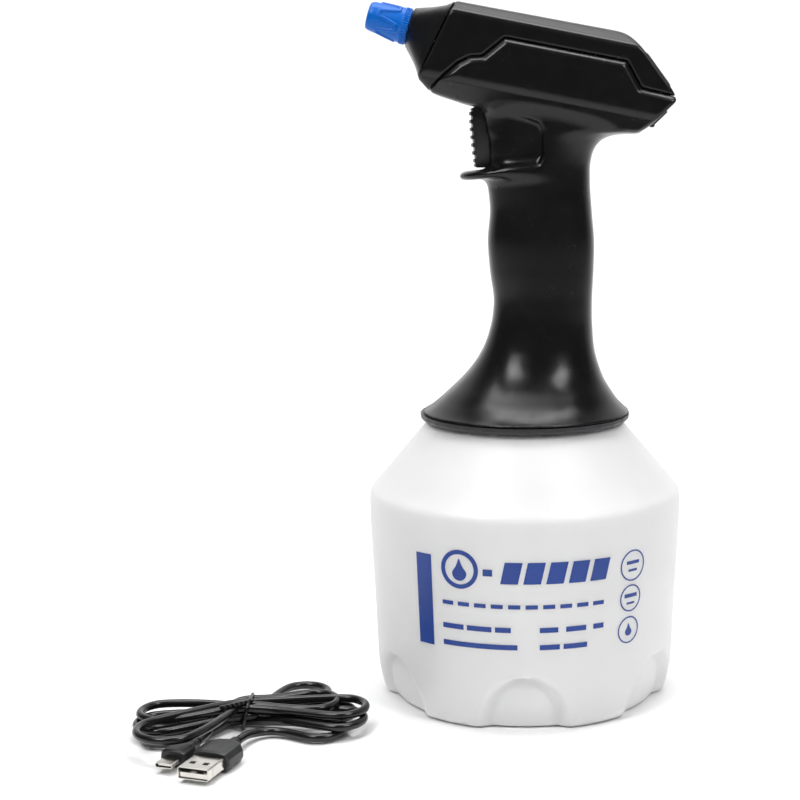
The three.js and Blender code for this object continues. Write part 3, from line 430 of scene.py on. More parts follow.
def extract(field, low, high, step):
    """Points and faces of the surface where the field is zero: one point for each cell it crosses."""
    axes = [np.arange(lo, hi + step, step) for lo, hi in zip(low, high)]
    grid = np.meshgrid(*axes, indexing="ij", sparse=True)
    value = np.broadcast_to(field(*grid), [len(a) for a in axes]).astype(np.float32)
    inside = value < 0
    cells = tuple(n - 1 for n in value.shape)
    corner = [(c & 1, c >> 1 & 1, c >> 2 & 1) for c in range(8)]
    window = [tuple(slice(o, o + n) for o, n in zip(offset, cells)) for offset in corner]
    count = sum(inside[w].astype(np.int8) for w in window)
    active = np.argwhere((count > 0) & (count < 8))
    number = np.full(cells, -1, np.int64)
    number[tuple(active.T)] = np.arange(len(active))
    values = np.stack([value[w][tuple(active.T)] for w in window], 1)
    place = np.zeros((len(active), 3))
    crossings = np.zeros(len(active))
    for a, b in EDGE_ENDS:
        crossed = (values[:, a] < 0) != (values[:, b] < 0)
        t = values[crossed, a] / (values[crossed, a] - values[crossed, b])
        start, end = np.array(corner[a], float), np.array(corner[b], float)
        place[crossed] += start + t[:, None] * (end - start)
        crossings[crossed] += 1
    place = (active + place / crossings[:, None]) * step + np.array(low)
    faces = []
    for axis in range(3):
        one, two = (axis + 1) % 3, (axis + 2) % 3
        head = [slice(1, -1)] * 3
        tail = [slice(1, -1)] * 3
        head[axis], tail[axis] = slice(0, -1), slice(1, None)
        first, second = inside[tuple(head)], inside[tuple(tail)]
        at = np.argwhere(first != second)
        if not len(at):
            continue
        flip = second[tuple(at.T)]
        base = at + 1
        base[:, axis] -= 1
        quad = []
        for back_one, back_two in ((1, 1), (0, 1), (0, 0), (1, 0)):
            cell = base.copy()
            cell[:, one] -= back_one
            cell[:, two] -= back_two
            quad.append(number[tuple(cell.T)])
        quad = np.stack(quad, 1)
        quad[flip] = quad[flip][:, ::-1]
        faces.append(quad)
    return place, np.concatenate(faces)


def settled(field, points, reach, rounds=3):
    """Moves points onto the field's surface, along its slope, by at most the reach in all."""
    start, step = points.copy(), 0.02
    for _ in range(rounds):
        here = field(*points.T)
        rises = [field(*(points + step * axis).T) - field(*(points - step * axis).T) for axis in np.eye(3)]
        slope = np.stack([rise / (2 * step) for rise in rises], 1)
        size = np.maximum((slope**2).sum(1), 0.05)
        move = -0.8 * (here / size)[:, None] * slope
        points = points + np.clip(move, -reach / 2, reach / 2)
        away = points - start
        points = start + np.clip(away, -reach, reach)
    return points


def solid(name, field, low, high, step, material):
    points, faces = extract(field, low, high, step)
    points = settled(field, points, 0.6 * step)
    return new_object(name, points.tolist(), faces.tolist(), material, "head")


# ---- housing ----

WALL = 2.2
GAP = 0.3
STEP = 0.75
HEAD_TILT = math.radians(10.9)
HEAD_CENTRE_Z = 252.7
COVER_HALF_WIDTH = 20.5
PANEL_HALF_WIDTH = 22.5
PANEL_BEVEL = 1.7
SKIRT_BOTTOM = 115.2

# Side outlines, [x, z], clockwise.
HEAD_OUTLINE = [
    (-26.5, 276.8), (38.2, 265.1), (42.2, 262.4), (57.8, 241.5), (58.4, 240), (58.4, 238.9),
    (47.2, 228.2), (44, 226.6), (-20.6, 236.8), (-36.5, 242), (-41.3, 247.6),
]
LOWER_REGION = [
    (-70, 213.5), (-37.1, 242.3), (-31, 248.4), (-25.5, 253), (-21, 255.2), (-16.1, 255.5),
    (-7.5, 262.3), (38.9, 253.5), (44.6, 243.4), (80, 235.1), (80, 100), (-70, 100),
]
FINGER_RECESS = [
    (-30, 239.5), (1.6, 231.9), (5.6, 230.4), (7, 227.4), (7, 217), (6.2, 214), (4, 212.6),
    (-9.9, 210.4), (-30, 211.4),
]
# Grip sections: height, front x, rear x, half width, squareness.
GRIP_STATIONS = np.array([
    (110, -45.4, 45.2, 45.2, 2), (114.9, -42.6, 43, 42.8, 2), (116.5, -39.6, 41.1, 40.4, 2),
    (120, -35, 37.6, 36, 2), (124, -30.6, 34.8, 31.8, 2.05), (128, -26.4, 32.4, 28, 2.1),
    (133, -21.9, 30.3, 24.2, 2.2), (140, -17.4, 28.3, 20.9, 2.3), (150, -13.8, 27.2, 18.6, 2.35),
    (160, -12.5, 27, 17.8, 2.4), (172, -13.9, 27.5, 17.7, 2.4), (184, -14.8, 27.7, 17.7, 2.4),
    (197, -13.9, 26.6, 17.3, 2.4), (208, -14.9, 25.9, 17.2, 2.4), (216, -15.1, 26.2, 17.2, 2.45),
    (220, -15.2, 27.3, 17.2, 2.5), (222.5, -15.3, 28.9, 17.2, 2.5), (224.6, -15.6, 31.6, 17.2, 2.5),
    (226, -16, 35.4, 17.2, 2.55), (227, -16.3, 40, 17.2, 2.6), (230, -16.8, 44, 17.2, 2.6),
    (242, -20.6, 46, 17.2, 2.6),
])
RECESS_HALF_WIDTH = 15
# Sloping faces: a point on them, x and z, and degrees that they lean.
REAR_PANEL = (51.1, 250.5, 53.4)
PORT = (52.45, 233.25, 136.5)
NOZZLE_X, NOZZLE_Z = -44.9, 267.5
NOZZLE_TILT = math.radians(16.2)
NOZZLE_BORE = 5.4
NOZZLE_HOLE_FRONT = 6
# Screws: x, z, and how far out of the parting plane the head sits.
SCREWS = [(-11, 138, 11), (19.4, 208, 10.5), (-10, 206, 10.5), (39.6, 232.6, 14), (-26, 244.4, 15)]


def smooth_table(rows, count):
    """Rows of values against their first column, filled in by smooth curves."""
    keys, values = rows[:, 0], rows[:, 1:]
    slopes = np.gradient(values, keys, axis=0)
    at = np.linspace(keys[0], keys[-1], count)
    i = np.clip(np.searchsorted(keys, at) - 1, 0, len(keys) - 2)
    span = (keys[i + 1] - keys[i])[:, None]
    t = (at[:, None] - keys[i][:, None]) / span
    a = (1 + 2 * t) * (1 - t) ** 2
    b = t * (1 - t) ** 2
    c = t * t * (3 - 2 * t)
    d = t * t * (t - 1)
    return at, a * values[i] + b * span * slopes[i] + c * values[i + 1] + d * span * slopes[i + 1]


GRIP_HEIGHTS, GRIP_VALUES = smooth_table(GRIP_STATIONS, 700)


def grip_ratio(x, y, z):
    """One on the grip's surface, less inside it."""
    front, rear, half_width, power = (np.interp(z, GRIP_HEIGHTS, column) for column in GRIP_VALUES.T)
    centre, half_depth = (front + rear) / 2, (rear - front) / 2
    along = np.abs((x - centre) / half_depth) + 1e-6
    return (along**power + (np.abs(y) / half_width + 1e-6) ** power) ** (1 / power)


def grip_distance(x, y, z):
    here, step = grip_ratio(x, y, z), 0.1
    slope_x = (grip_ratio(x + step, y, z) - here) / step
    slope_y = (grip_ratio(x, y + step, z) - here) / step
    slope_z = (grip_ratio(x, y, z + step) - here) / step
    return (here - 1) / np.sqrt(slope_x**2 + slope_y**2 + slope_z**2 + 1e-5)


def head_height(x, z):
    """Height above the head's own axis."""
    return x * math.sin(HEAD_TILT) + (z - HEAD_CENTRE_Z) * math.cos(HEAD_TILT)


def head_section(x, y, z, half_width, k):
    """The head's section across its own axis, with chamfered top and bottom edges."""
    outline = [
        (-half_width, -10.8), (-half_width, 14.6), (-9.3, 22), (9.3, 22),
        (half_width, 14.6), (half_width, -10.8), (9, -22.4), (-9, -22.4),
    ]
    return convex(outline, y, head_height(x, z), k)


def finger_lip(x, y, z):
    plan = ((np.abs((x + 6) / 20) + 1e-6) ** 2.3 + (np.abs(y) / 17.4 + 1e-6) ** 2.3) ** (1 / 2.3)
    edge = (plan - 1) * 15
    level = np.abs(z - 209.7 - 0.1 * (x + 26)) - 1.75
    return smooth_max(edge, level, 2.4)


def outer_cover(x, y, z):
    return smooth_max(head_section(x, y, z, COVER_HALF_WIDTH, 1.6), convex(HEAD_OUTLINE, x, z, 1.3), 1.3)


def outer_panel(x, y, z):
    """The lower part of the head, whose sides stand proud with a bevel along the parting line."""
    region = outline_distance(LOWER_REGION, x, z)
    bevel = ((np.abs(y) - COVER_HALF_WIDTH) * PANEL_BEVEL + region * 2) / math.hypot(PANEL_BEVEL, 2)
    body = smooth_max(head_section(x, y, z, PANEL_HALF_WIDTH, 1.6), convex(HEAD_OUTLINE, x, z, 1.3), 1.3)
    return smooth_max(np.maximum(bevel, region), body, 0.9)


def outer_grip(x, y, z):
    recess = smooth_max(outline_distance(FINGER_RECESS, x, z), RECESS_HALF_WIDTH - np.abs(y), 1.6)
    grip = smooth_max(grip_distance(x, y, z), z - 240, 1)
    return smooth_max(grip, -recess, 1.6)


def hollow(x, y, z):
    room = smooth_min(outer_cover(x, y, z), outer_grip(x, y, z), 1) + WALL
    return np.where(z < 240, room, outer_cover(x, y, z) + WALL)


def face_place(x, z, face):
    """Along a sloping face, and out of it."""
    origin_x, origin_z, degrees = face
    tilt = math.radians(degrees)
    u, v = x - origin_x, z - origin_z
    return u * math.cos(tilt) - v * math.sin(tilt), u * math.sin(tilt) + v * math.cos(tilt)


def nozzle_hole(x, y, z):
    u, v = x - NOZZLE_X, z - NOZZLE_Z
    across = u * math.sin(NOZZLE_TILT) + v * math.cos(NOZZLE_TILT)
    along = -u * math.cos(NOZZLE_TILT) + v * math.sin(NOZZLE_TILT)
    return np.maximum(np.hypot(across, y) - NOZZLE_BORE, along - NOZZLE_HOLE_FRONT)


def lower_housing(x, y, z):
    body = smooth_min(outer_grip(x, y, z), outer_panel(x, y, z), 3.4)
    outside = smooth_max(smooth_min(body, finger_lip(x, y, z), 4.5), SKIRT_BOTTOM - z, 0.7)
    room = hollow(x, y, z)
    for screw_x, screw_z, _ in SCREWS:
        room = np.maximum(room, 4.4 - np.hypot(x - screw_x, z - screw_z))
    shell = smooth_max(outside, -room, 0.5)
    slot = np.maximum(rounded_box(x + 17.85, z - 225.7, 8.35, 13.3, 1), np.abs(y) - 7.2)
    along, out = face_place(x, z, PORT)
    port = np.maximum(rounded_box(along, y, 1.9, 4.7, 1.2), np.abs(out + 2) - 7)
    for tool in (slot, port, nozzle_hole(x, y, z)):
        shell = smooth_max(shell, -tool, 0.5)
    return shell


def right_housing(x, y, z):
    shell = lower_housing(x, y, z)
    for screw_x, screw_z, out in SCREWS:
        bore = np.maximum(np.hypot(x - screw_x, z - screw_z) - 3.1, out - 2.3 - y)
        shell = smooth_max(shell, -bore, 0.4)
    return smooth_max(shell, 0.15 - y, 0.3)


def left_housing(x, y, z):
    return smooth_max(lower_housing(x, y, z), y + 0.15, 0.3)


def top_cover(x, y, z):
    above = GAP - outline_distance(LOWER_REGION, x, z)
    shell = smooth_max(smooth_max(outer_cover(x, y, z), above, 0.5), -hollow(x, y, z), 0.5)
    along, out = face_place(x, z, REAR_PANEL)
    pocket = np.maximum(rounded_box(along, y, 8.2, 12.7, 2.4), -0.5 - out)
    button = np.maximum(np.hypot(along - 3.4, y) - 4.3, -8 - out)
    for tool in (pocket, button, nozzle_hole(x, y, z)):
        shell = smooth_max(shell, -tool, 0.5)
    return shell


def make_housing():
    parts = [
        ("housing_left", left_housing, (-44, -46, 113), (60, 1, 266)),
        ("housing_right", right_housing, (-44, -1, 113), (60, 46, 266)),
        ("top_cover", top_cover, (-44, -22, 238), (60, 22, 279)),
    ]
    for node, field, low, high in parts:
        made = solid(node + "_shell", field, low, high, STEP, "housing")
        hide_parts(node)


make_housing()


# ---- bottle ----

THREAD_PITCH = 4
FOOT_ARCHES = 6
ARCH_HEIGHT = 22
ARCH_HALF_ANGLE = math.radians(15.7)
ARCH_RAMP = math.radians(6)
ARCH_DEPTH = 3.3
BOTTLE_SEGMENTS = 240
BOTTLE_OUTSIDE = [
    (0, 1.2), (40, 1.2), (47, 0.9), (51, 0), (54.6, 0), (56.9, 0.7), (58.2, 3), (59.2, 6.6), (60.3, 12),
    (60.7, 19), (61.2, 33), (62, 50), (62.9, 67), (63.2, 77), (63.2, 81), (62.6, 84.4), (60, 87.3),
    (57.1, 90.6), (51.5, 97.3), (45.9, 103.9), (41.4, 109.2), (39, 111.9), (35.5, 112), (25.6, 112),
    (24, 112.4), (24, 113.4), (24, 120.4), (23.6, 121),
]
BOTTLE_INSIDE = [
    (22.2, 121), (21.8, 120.4), (21.8, 111), (22.6, 110.4), (35.5, 110.4), (38.2, 109.8), (44.6, 102.6),
    (58.8, 86.1), (61.3, 82.6), (61.6, 78), (61, 60), (60, 42), (59.2, 20), (58.4, 9), (56.6, 3.4), (53, 1.9),
    (40, 2.8), (0, 2.8),
]


def rounded_line(points, rounds=2):
    """The same line with its corners cut, and cut again."""
    for _ in range(rounds):
        smoother = [points[0]]
        for (x0, y0), (x1, y1) in zip(points, points[1:]):
            smoother.append((0.75 * x0 + 0.25 * x1, 0.75 * y0 + 0.25 * y1))
            smoother.append((0.25 * x0 + 0.75 * x1, 0.25 * y0 + 0.75 * y1))
        points = smoother + [points[-1]]
    return points


def spaced_line(points, step):
    """Points along a line, at most a step apart."""
    spread = [points[0]]
    for start, end in zip(points, points[1:]):
        count = max(1, math.ceil(math.dist(start, end) / step))
        spread += [tuple(a + (b - a) * i / count for a, b in zip(start, end)) for i in range(1, count + 1)]
    return spread


def smooth_step(value, low, high):
    t = min(1, max(0, (value - low) / (high - low)))
    return t * t * (3 - 2 * t)


def arch_depth(turn, z):
    """How far the wall is pressed in by the arches round the foot. Turn zero faces -Y."""
    if z >= ARCH_HEIGHT:
        return 0
    pitch = 2 * math.pi / FOOT_ARCHES
    offset = abs(turn - round(turn / pitch) * pitch)
    half_angle = ARCH_HALF_ANGLE * math.sqrt(1 - (z / ARCH_HEIGHT) ** 2)
    return ARCH_DEPTH * smooth_step(half_angle - offset, -ARCH_RAMP / 2, ARCH_RAMP / 2)


def thread_height(turn, z):
    """The screw thread stands out of the neck for a turn and a quarter."""
    height = 0
    for lap in (-1, 0, 1, 2):
        along = turn / (2 * math.pi) + lap
        if not 0 <= along <= 1.25:
            continue
        ends = smooth_step(along, 0, 0.06) * smooth_step(1.25 - along, 0, 0.06)
        away = abs(z - 114.2 - THREAD_PITCH * along)
        height = max(height, 1.2 * ends * (1 - smooth_step(away, 0.35, 0.95)))
    return height


def bottle_radius(radius, turn, z, outside):
    if radius > 40:
        return radius - arch_depth(turn, z)
    on_neck = outside and z > 112.8 and radius < 25
    return radius + (thread_height((turn + 2 * math.pi) % (2 * math.pi), z) if on_neck else 0)


def make_bottle():
    outside = spaced_line(rounded_line(BOTTLE_OUTSIDE), 1.6)
    inside = spaced_line(rounded_line(BOTTLE_INSIDE), 2.4)
    profile = [(*p, True) for p in outside[1:]] + [(*p, False) for p in inside[:-1]]
    points = []
    for radius, z, is_outside in profile:
        for i in range(BOTTLE_SEGMENTS):
            turn = 2 * math.pi * i / BOTTLE_SEGMENTS - math.pi
            r = bottle_radius(radius, turn, z, is_outside)
            points.append((r * math.sin(turn), -r * math.cos(turn), z))
    faces = ring_faces(len(profile), BOTTLE_SEGMENTS)
    bottle = crease(new_object("bottle_body", points, faces, "bottle", "bottle"), 60)
    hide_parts("bottle_shell", "bottle_neck")


make_bottle()


# ---- print on the bottle: plain shapes, u across the front and z up ----

PRINT_RAISED = 0.1
PRINT_SUNK = -0.15
PRINT_STEP = 1.2
ICONS = [(44.8, 63, 6.2), (44.4, 50, 5.4), (43.9, 37.3, 5.4)]
SMALL_BARS = [(-32.8, -24), (-22.6, -12.8), (-11.4, -5.3)]
ROUND_POINTS = 48


def on_bottle(u, z, off):
    radius = np.interp(z, [19, 33, 50, 67, 77], [60.7, 61.2, 62, 62.9, 63.2]) + off
    turn = u / 62
    return (radius * math.sin(turn), -radius * math.cos(turn), z)


def bar(u0, u1, z0, z1, lean=0):
    """A flat bar. Its top leans over to the right by the lean."""
    count = max(1, math.ceil((u1 - u0) / PRINT_STEP))
    points = []
    for i in range(count + 1):
        u = u0 + (u1 - u0) * i / count
        points += [
            on_bottle(u, z0, PRINT_RAISED), on_bottle(u + lean, z1, PRINT_RAISED),
            on_bottle(u + lean, z1, PRINT_SUNK), on_bottle(u, z0, PRINT_SUNK),
        ]
    return points, ring_faces(count + 1, 4)


def round_outline(u, z, radius, drop=0):
    """A circle, or a drop when its top is drawn up to a point."""
    outline = []
    for i in range(ROUND_POINTS):
        angle = 2 * math.pi * i / ROUND_POINTS
        point = max(0, math.sin(angle)) ** 6
        narrow = 1 - 0.55 * drop * max(0, math.sin(angle)) ** 2
        outline.append((u + radius * narrow * math.cos(angle), z + radius * (math.sin(angle) + drop * point)))
    return outline


def ring_shape(u, z, radius, width):
    outer, inner = round_outline(u, z, radius), round_outline(u, z, radius - width)
    points = []
    corners = [(outer, PRINT_RAISED), (inner, PRINT_RAISED), (inner, PRINT_SUNK), (outer, PRINT_SUNK)]
    for outline, off in corners:
        points += [on_bottle(*p, off) for p in outline]
    faces = ring_faces(4, ROUND_POINTS, capped=False)
    count = ROUND_POINTS
    faces += [(3 * count + i, 3 * count + (i + 1) % count, (i + 1) % count, i) for i in range(count)]
    return points, faces


def solid_shape(u, z, radius, drop=0):
    levels = [(0.35, PRINT_RAISED), (0.7, PRINT_RAISED), (1, PRINT_RAISED), (1, PRINT_SUNK)]
    points = []
    for size, off in levels:
        points += [on_bottle(*p, off) for p in round_outline(u, z, radius * size, drop)]
    return points, ring_faces(len(levels), ROUND_POINTS)


def print_shapes():
    shapes = [bar(-44.6, -37.4, 32.5, 68.5)]
    shapes += [ring_shape(-25.2, 64.2, 7.6, 1.7), solid_shape(-25.2, 62.6, 2.9, 1)]
    shapes += [bar(-15.8, -12.2, 62.4, 65)]
    shapes += [bar(start, start + 6.6, 59.6, 68, 1.8) for start in (-9.2, -0.6, 8, 16.6, 25.2)]
    shapes += [bar(start, start + 4.6, 49.8, 51.4) for start in np.arange(-32.7, 30, 6.6)]
    for start, end in SMALL_BARS:
        shapes += [bar(start, end, 40.4, 42.4), bar(start + 38.5, end + 36.8, 40.4, 42.4)]
        shapes += [bar(start, end + 2.5, 33.6, 35.6)]
    shapes += [bar(5.7, 13.5, 33.6, 35.6), bar(15, 24.6, 33.6, 35.6)]
    for u, z, radius in ICONS:
        shapes.append(ring_shape(u, z, radius, 0.55))
    shapes += [bar(41.6, 48, 63.6, 64.9), bar(42.6, 47, 60.7, 61.6)]
    shapes += [bar(41.2, 47.6, 50.3, 51.8), bar(42.4, 46.4, 47.6, 48.4), solid_shape(43.9, 36.6, 1.7, 1)]
    return shapes


def make_print():
    points, faces = [], []
    for shape_points, shape_faces in print_shapes():
        first = len(points)
        points += shape_points
        faces += [tuple(first + i for i in face) for face in shape_faces]
    crease(new_object("bottle_print", points, faces, "print", "bottle"), 30)


make_print()


# ---- nozzle and nose ----

NOZZLE_BASE = Vector((NOZZLE_X, 0, NOZZLE_Z))
NOSE_TILT = math.radians(26.9)
NOSE_BASE = Vector((-33.9, 0, 262.2))
NOSE_POINTS = 120
CAP_SEGMENTS = 360
CAP_TEETH = 44
CAP_WAVES = 5
CAP_PROFILE = [
    (4.9, 1.4), (4.9, 0.4), (6.6, 0.3), (6.95, 0.6), (6.95, 3.1), (6.9, 3.4), (6.7, 6), (5.98, 12.4),
    (5.8, 14.6), (5.7, 15.4), (5.4, 16.5), (4.9, 17.1), (3.6, 17.1), (3.1, 16.7), (1.2, 16.4), (0.9, 16),
    (0.9, 14.5), (4.6, 14.5), (4.7, 8),
]


def leaning(origin, tilt):
    """A frame whose +Z leans from the row's +Z towards +X by the tilt."""
    return Matrix.Translation(origin) @ Matrix.Rotation(tilt, 4, "Y")


NOZZLE_FRAME = leaning(NOZZLE_BASE, NOZZLE_TILT - math.pi / 2)
NOSE_FRAME = leaning(NOSE_BASE, NOSE_TILT - math.pi / 2)


def wave_distance(turn, along):
    """How far a place on the cap's side is from the raised line that runs to and fro round it."""
    share = (turn * CAP_WAVES / (2 * math.pi)) % 1
    arc = 2 * math.pi * 6.4 / CAP_WAVES
    corners = [(-0.14, 12.6), (0.14, 12.6), (0.36, 5.2), (0.64, 5.2), (0.86, 12.6), (1.14, 12.6)]
    best = 99
    for (s0, a0), (s1, a1) in zip(corners, corners[1:]):
        du, dv = (s1 - s0) * arc, a1 - a0
        u, v = (share - s0) * arc, along - a0
        t = min(1, max(0, (u * du + v * dv) / (du * du + dv * dv)))
        best = min(best, math.hypot(u - t * du, v - t * dv))
    return best


def cap_relief(turn, along):
    if 0.8 < along < 3.2:
        tooth = math.cos(turn * CAP_TEETH)
        return 0.28 * smooth_step(tooth, -0.35, 0.35) * smooth_step(3.2 - along, 0, 0.3)
    return 0.5 * (1 - smooth_step(wave_distance(turn, along), 0.35, 0.72))


def make_cap():
    profile = spaced_line(rounded_line(CAP_PROFILE, 1), 0.3)
    widest = max(i for i, (r, a) in enumerate(profile) if r > 5.5)
    points = []
    for index, (radius, along) in enumerate(profile):
        outer = index <= widest and radius > 5.5 and along < 14.6
        for i in range(CAP_SEGMENTS):
            turn = 2 * math.pi * i / CAP_SEGMENTS
            r = radius + (cap_relief(turn, along) if outer else 0)
            points.append(NOZZLE_FRAME @ Vector((r * math.cos(turn), r * math.sin(turn), along)))
    faces = ring_faces(len(profile), CAP_SEGMENTS, capped=False)
    last = len(profile) - 1
    for i in range(CAP_SEGMENTS):
        j = (i + 1) % CAP_SEGMENTS
        faces.append((last * CAP_SEGMENTS + i, last * CAP_SEGMENTS + j, j, i))
    cap = crease(new_object("nozzle_cap_ribbed", points, faces, "blue", "nozzle_cap"), 55)
    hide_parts("nozzle_cap")


def nose_ring(height, half_height, half_width, power, at=NOSE_FRAME):
    points = []
    for i in range(NOSE_POINTS):
        angle = 2 * math.pi * i / NOSE_POINTS
        c, s = math.cos(angle), math.sin(angle)
        radius = (abs(c / half_height) ** power + abs(s / half_width) ** power) ** (-1 / power)
        points.append(at @ Vector((radius * c, radius * s, height)))
    return points


def blended(ring, other, share):
    return [a.lerp(b, share) for a, b in zip(ring, other)]


def make_nose():
    """A squared cone from the head's bevelled front to the round seat of the nozzle."""
    base, step = nose_ring(0.3, 16, 20.3, 5.5), nose_ring(2.4, 13.8, 18.1, 5)
    seat = nose_ring(-0.2, 7.8, 7.8, 2, NOZZLE_FRAME)
    lip = nose_ring(0.1, 7.3, 7.3, 2, NOZZLE_FRAME)
    hole = nose_ring(0, 5.6, 5.6, 2, NOZZLE_FRAME)
    hole_back = nose_ring(-3, 5.6, 5.6, 2, NOZZLE_FRAME)
    back = nose_ring(0.3, 13.6, 17.6, 5)
    rings = [base, blended(base, step, 0.06), blended(base, step, 0.94), step, blended(step, seat, 0.04)]
    rings += [blended(step, seat, share) for share in (0.3, 0.6, 0.9, 0.97)]
    rings += [seat, lip, hole, hole_back, back, base]
    points = [p for ring in rings[:-1] for p in ring]
    count = NOSE_POINTS
    faces = ring_faces(len(rings) - 1, count, capped=False)
    last = (len(rings) - 2) * count
    faces += [(last + i, last + (i + 1) % count, (i + 1) % count, i) for i in range(count)]
    nose = crease(new_object("nose_shell", points, faces, "housing", "head"), 24)
    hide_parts("nose_cone")


make_cap()
make_nose()


# ---- trigger ----

TRIGGER_HALF_WIDTH = 6.6
TRIGGER_RIB_PITCH = 3.07
RIB_TOP = 234.2
TRIGGER_BACK = [
    (-18.4, 213.2), (-11.8, 213.2), (-11, 222), (-11.2, 230), (-9.9, 238), (-10, 243.6), (-12, 244.3),
    (-15.6, 243.4), (-16.3, 240),
]
# Across the trigger: place from side to side, and the outline's size there, less at the round edges.
TRIGGER_LEVELS = [
    (-1, 0.93), (-0.985, 0.965), (-0.93, 1), (-0.6, 1), (0, 1),
    (0.6, 1), (0.93, 1), (0.985, 0.965), (1, 0.93),
]


def trigger_front(z):
    """The finger face is a shallow curve with rounded ribs across it."""
    curve = -21.2 + 0.0038 * (236 - z) ** 2
    across = (RIB_TOP - z) / TRIGGER_RIB_PITCH
    on_ribs = smooth_step(z, 214.2, 215) * smooth_step(236.4 - z, 0, 0.8)
    rib = smooth_step(math.cos(2 * math.pi * across), -0.25, 0.55)
    return curve + 0.75 * (1 - rib) * on_ribs


def make_trigger():
    side = [(trigger_front(z), z) for z in np.linspace(236, 213.6, 150)]
    outline = [(-17.2, 238), *side, *TRIGGER_BACK]
    middle_x = sum(x for x, _ in outline) / len(outline)
    middle_z = sum(z for _, z in outline) / len(outline)
    points = []
    for level, size in TRIGGER_LEVELS:
        crown = 0.9 * (1 - level * level)
        for x, z in outline:
            forward = crown if x < -17.6 else 0
            points.append((
                middle_x + (x - middle_x) * size - forward,
                level * TRIGGER_HALF_WIDTH,
                middle_z + (z - middle_z) * (0.5 + 0.5 * size),
            ))
    faces = ring_faces(len(TRIGGER_LEVELS), len(outline))
    trigger = crease(new_object("trigger_lever", points, faces, "trigger", "trigger"), 35)
    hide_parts("trigger")


make_trigger()


# ---- trigger spring ----

SPRING_FRONT = -10.75
SPRING_REAR = -3.25
SPRING_Y, SPRING_Z = -0.6, 216.4
SPRING_RADIUS = 1.9
SPRING_WIRE = 0.35
SPRING_TURNS = 5
SPRING_STEPS = 24


def make_spring():
    """A steel coil behind the trigger, made at one fixed length."""
    count = SPRING_TURNS * SPRING_STEPS
    points = []
    for i in range(count + 1):
        angle = 2 * math.pi * i / SPRING_STEPS
        x = SPRING_FRONT + SPRING_WIRE + (SPRING_REAR - SPRING_FRONT - 2 * SPRING_WIRE) * i / count
        for k in range(8):
            round_wire = math.pi * k / 4
            radius = SPRING_RADIUS + SPRING_WIRE * math.cos(round_wire)
            points.append((
                x + SPRING_WIRE * math.sin(round_wire),
                SPRING_Y + radius * math.cos(angle),
                SPRING_Z + radius * math.sin(angle),
            ))
    spring = new_object("trigger_coil", points, ring_faces(count + 1, 8), "steel", "head")
    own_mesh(spring)
    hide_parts("trigger_spring")


make_spring()


# ---- the CAD nodes that stay ----

NODE_MATERIALS = {
    "collar": ["threaded_collar"],
    "seal": ["collar_gasket", "vent_valve", "nozzle_o_ring", "usb_port_cover"],
    "natural": ["dip_fitting", "pump_drive_gear", "pump_idler_gear", "nozzle_tube", "swirl_core"],
    "clear": ["dip_tube", "inlet_tube", "outlet_tube"],
    "inner": [
        "suction_filter", "microswitch", "switch_bracket", "battery_cradle", "pump_housing", "pump_cover",
    ],
    "steel": ["trigger_pin", "motor_can", "motor_shaft", "idler_pin"],
    "screw": [f"housing_screw_{i}" for i in range(1, 6)],
    "cell": ["battery_cell"],
    "red": ["battery_lead_red"],
    "cable": ["battery_lead_black"],
    "board": ["circuit_board", "button_board"],
    "collar_gloss": ["power_button"],
    "panel": ["indicator_panel"],
    "lens": ["indicator_lens_1", "indicator_lens_2", "indicator_lens_3"],
    "plug": ["usb_a_plug", "micro_usb_plug"],
    "plug_steel": ["usb_a_shell", "micro_usb_shell", "usb_socket"],
}
BEVELLED = {
    "power_button": 0.35, "indicator_panel": 0.25, "usb_port_cover": 0.25, "usb_a_shell": 0.25,
    "micro_usb_shell": 0.15, "motor_can": 0.2, "pump_housing": 0.3, "pump_cover": 0.25,
    "threaded_collar": 0.3,
}


def finish_nodes():
    for material, names in NODE_MATERIALS.items():
        for name in names:
            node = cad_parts[name]
            node.data.materials.clear()
            node.data.materials.append(MATERIALS[material])
            if name in BEVELLED:
                bevel = node.modifiers.new("edges", "BEVEL")
                bevel.width = BEVELLED[name] * MM
                bevel.segments = 2
                bevel.limit_method = "ANGLE"
                bevel.angle_limit = math.radians(40)


finish_nodes()


# ---- floor and light ----

SWEEP_FRONT = -3
SWEEP_START = 0.55
SWEEP_RADIUS = 0.7
SWEEP_HEIGHT = 3
SWEEP_HALF_WIDTH = 3.5
SWEEP_STEPS = 24


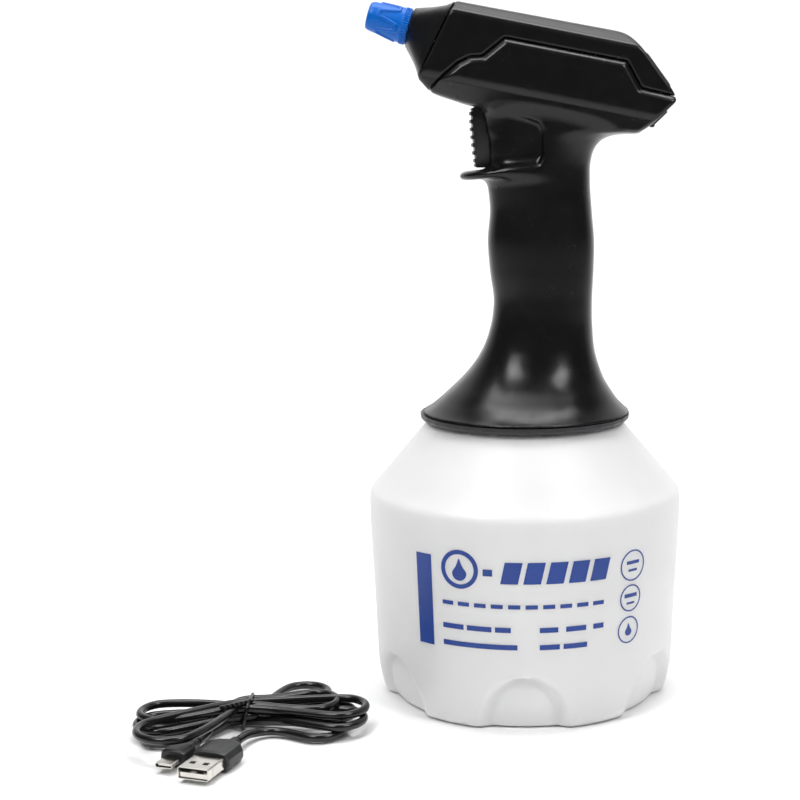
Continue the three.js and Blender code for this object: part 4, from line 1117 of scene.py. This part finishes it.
def add_stage():
    """A pale floor that curves up into a plain wall behind."""
    profile = [(SWEEP_FRONT, 0), (SWEEP_START, 0)]
    for step in range(1, SWEEP_STEPS + 1):
        angle = math.pi / 2 * step / SWEEP_STEPS
        profile.append((SWEEP_START + SWEEP_RADIUS * math.sin(angle), SWEEP_RADIUS * (1 - math.cos(angle))))
    profile.append((SWEEP_START + SWEEP_RADIUS, SWEEP_HEIGHT))
    points = [(side * SWEEP_HALF_WIDTH, y, z) for y, z in profile for side in (-1, 1)]
    faces = [(2 * i, 2 * i + 1, 2 * i + 3, 2 * i + 2) for i in range(len(profile) - 1)]
    mesh = bpy.data.meshes.new("floor")
    mesh.from_pydata(points, [], faces)
    mesh.polygons.foreach_set("use_smooth", [True] * len(mesh.polygons))
    made = bpy.data.objects.new("floor", mesh)
    n = Nodes("pale_floor")
    shade = n.ranged(n.noise(3), 0, 1)
    n.join(n.mixed(shade, (0.93, 0.93, 0.93), (0.95, 0.95, 0.95)), n.shader.inputs["Base Color"])
    n.set(Roughness=0.7)
    mesh.materials.append(n.material)
    bpy.context.scene.collection.objects.link(made)


def add_light(name, place, target, size, power):
    data = bpy.data.lights.new(name, "AREA")
    data.shape = "RECTANGLE"
    data.size, data.size_y = size
    data.energy = power
    made = bpy.data.objects.new(name, data)
    made.location = place
    made.rotation_mode = "QUATERNION"
    made.rotation_quaternion = (Vector(target) - Vector(place)).to_track_quat("-Z", "Y")
    bpy.context.scene.collection.objects.link(made)


def add_lights():
    middle = (0, 0, 0.16)
    add_light("key", (-0.48, -0.62, 1.0), middle, (0.36, 0.5), 5.4)
    add_light("fill", (0.6, -0.6, 0.95), middle, (0.34, 0.5), 4.8)
    add_light("top", (0, 0.15, 1.2), middle, (0.8, 0.8), 5.8)
    add_light("backdrop", (0, 0.1, 1.9), (0, 1.25, 0.5), (2.4, 0.5), 24)
    world = bpy.data.worlds.new("studio")
    world.use_nodes = True
    world.node_tree.nodes["Background"].inputs["Color"].default_value = (1, 1, 1, 1)
    world.node_tree.nodes["Background"].inputs["Strength"].default_value = 0.1
    bpy.context.scene.world = world


add_stage()
add_lights()
bpy.context.scene.view_settings.view_transform = "Standard"
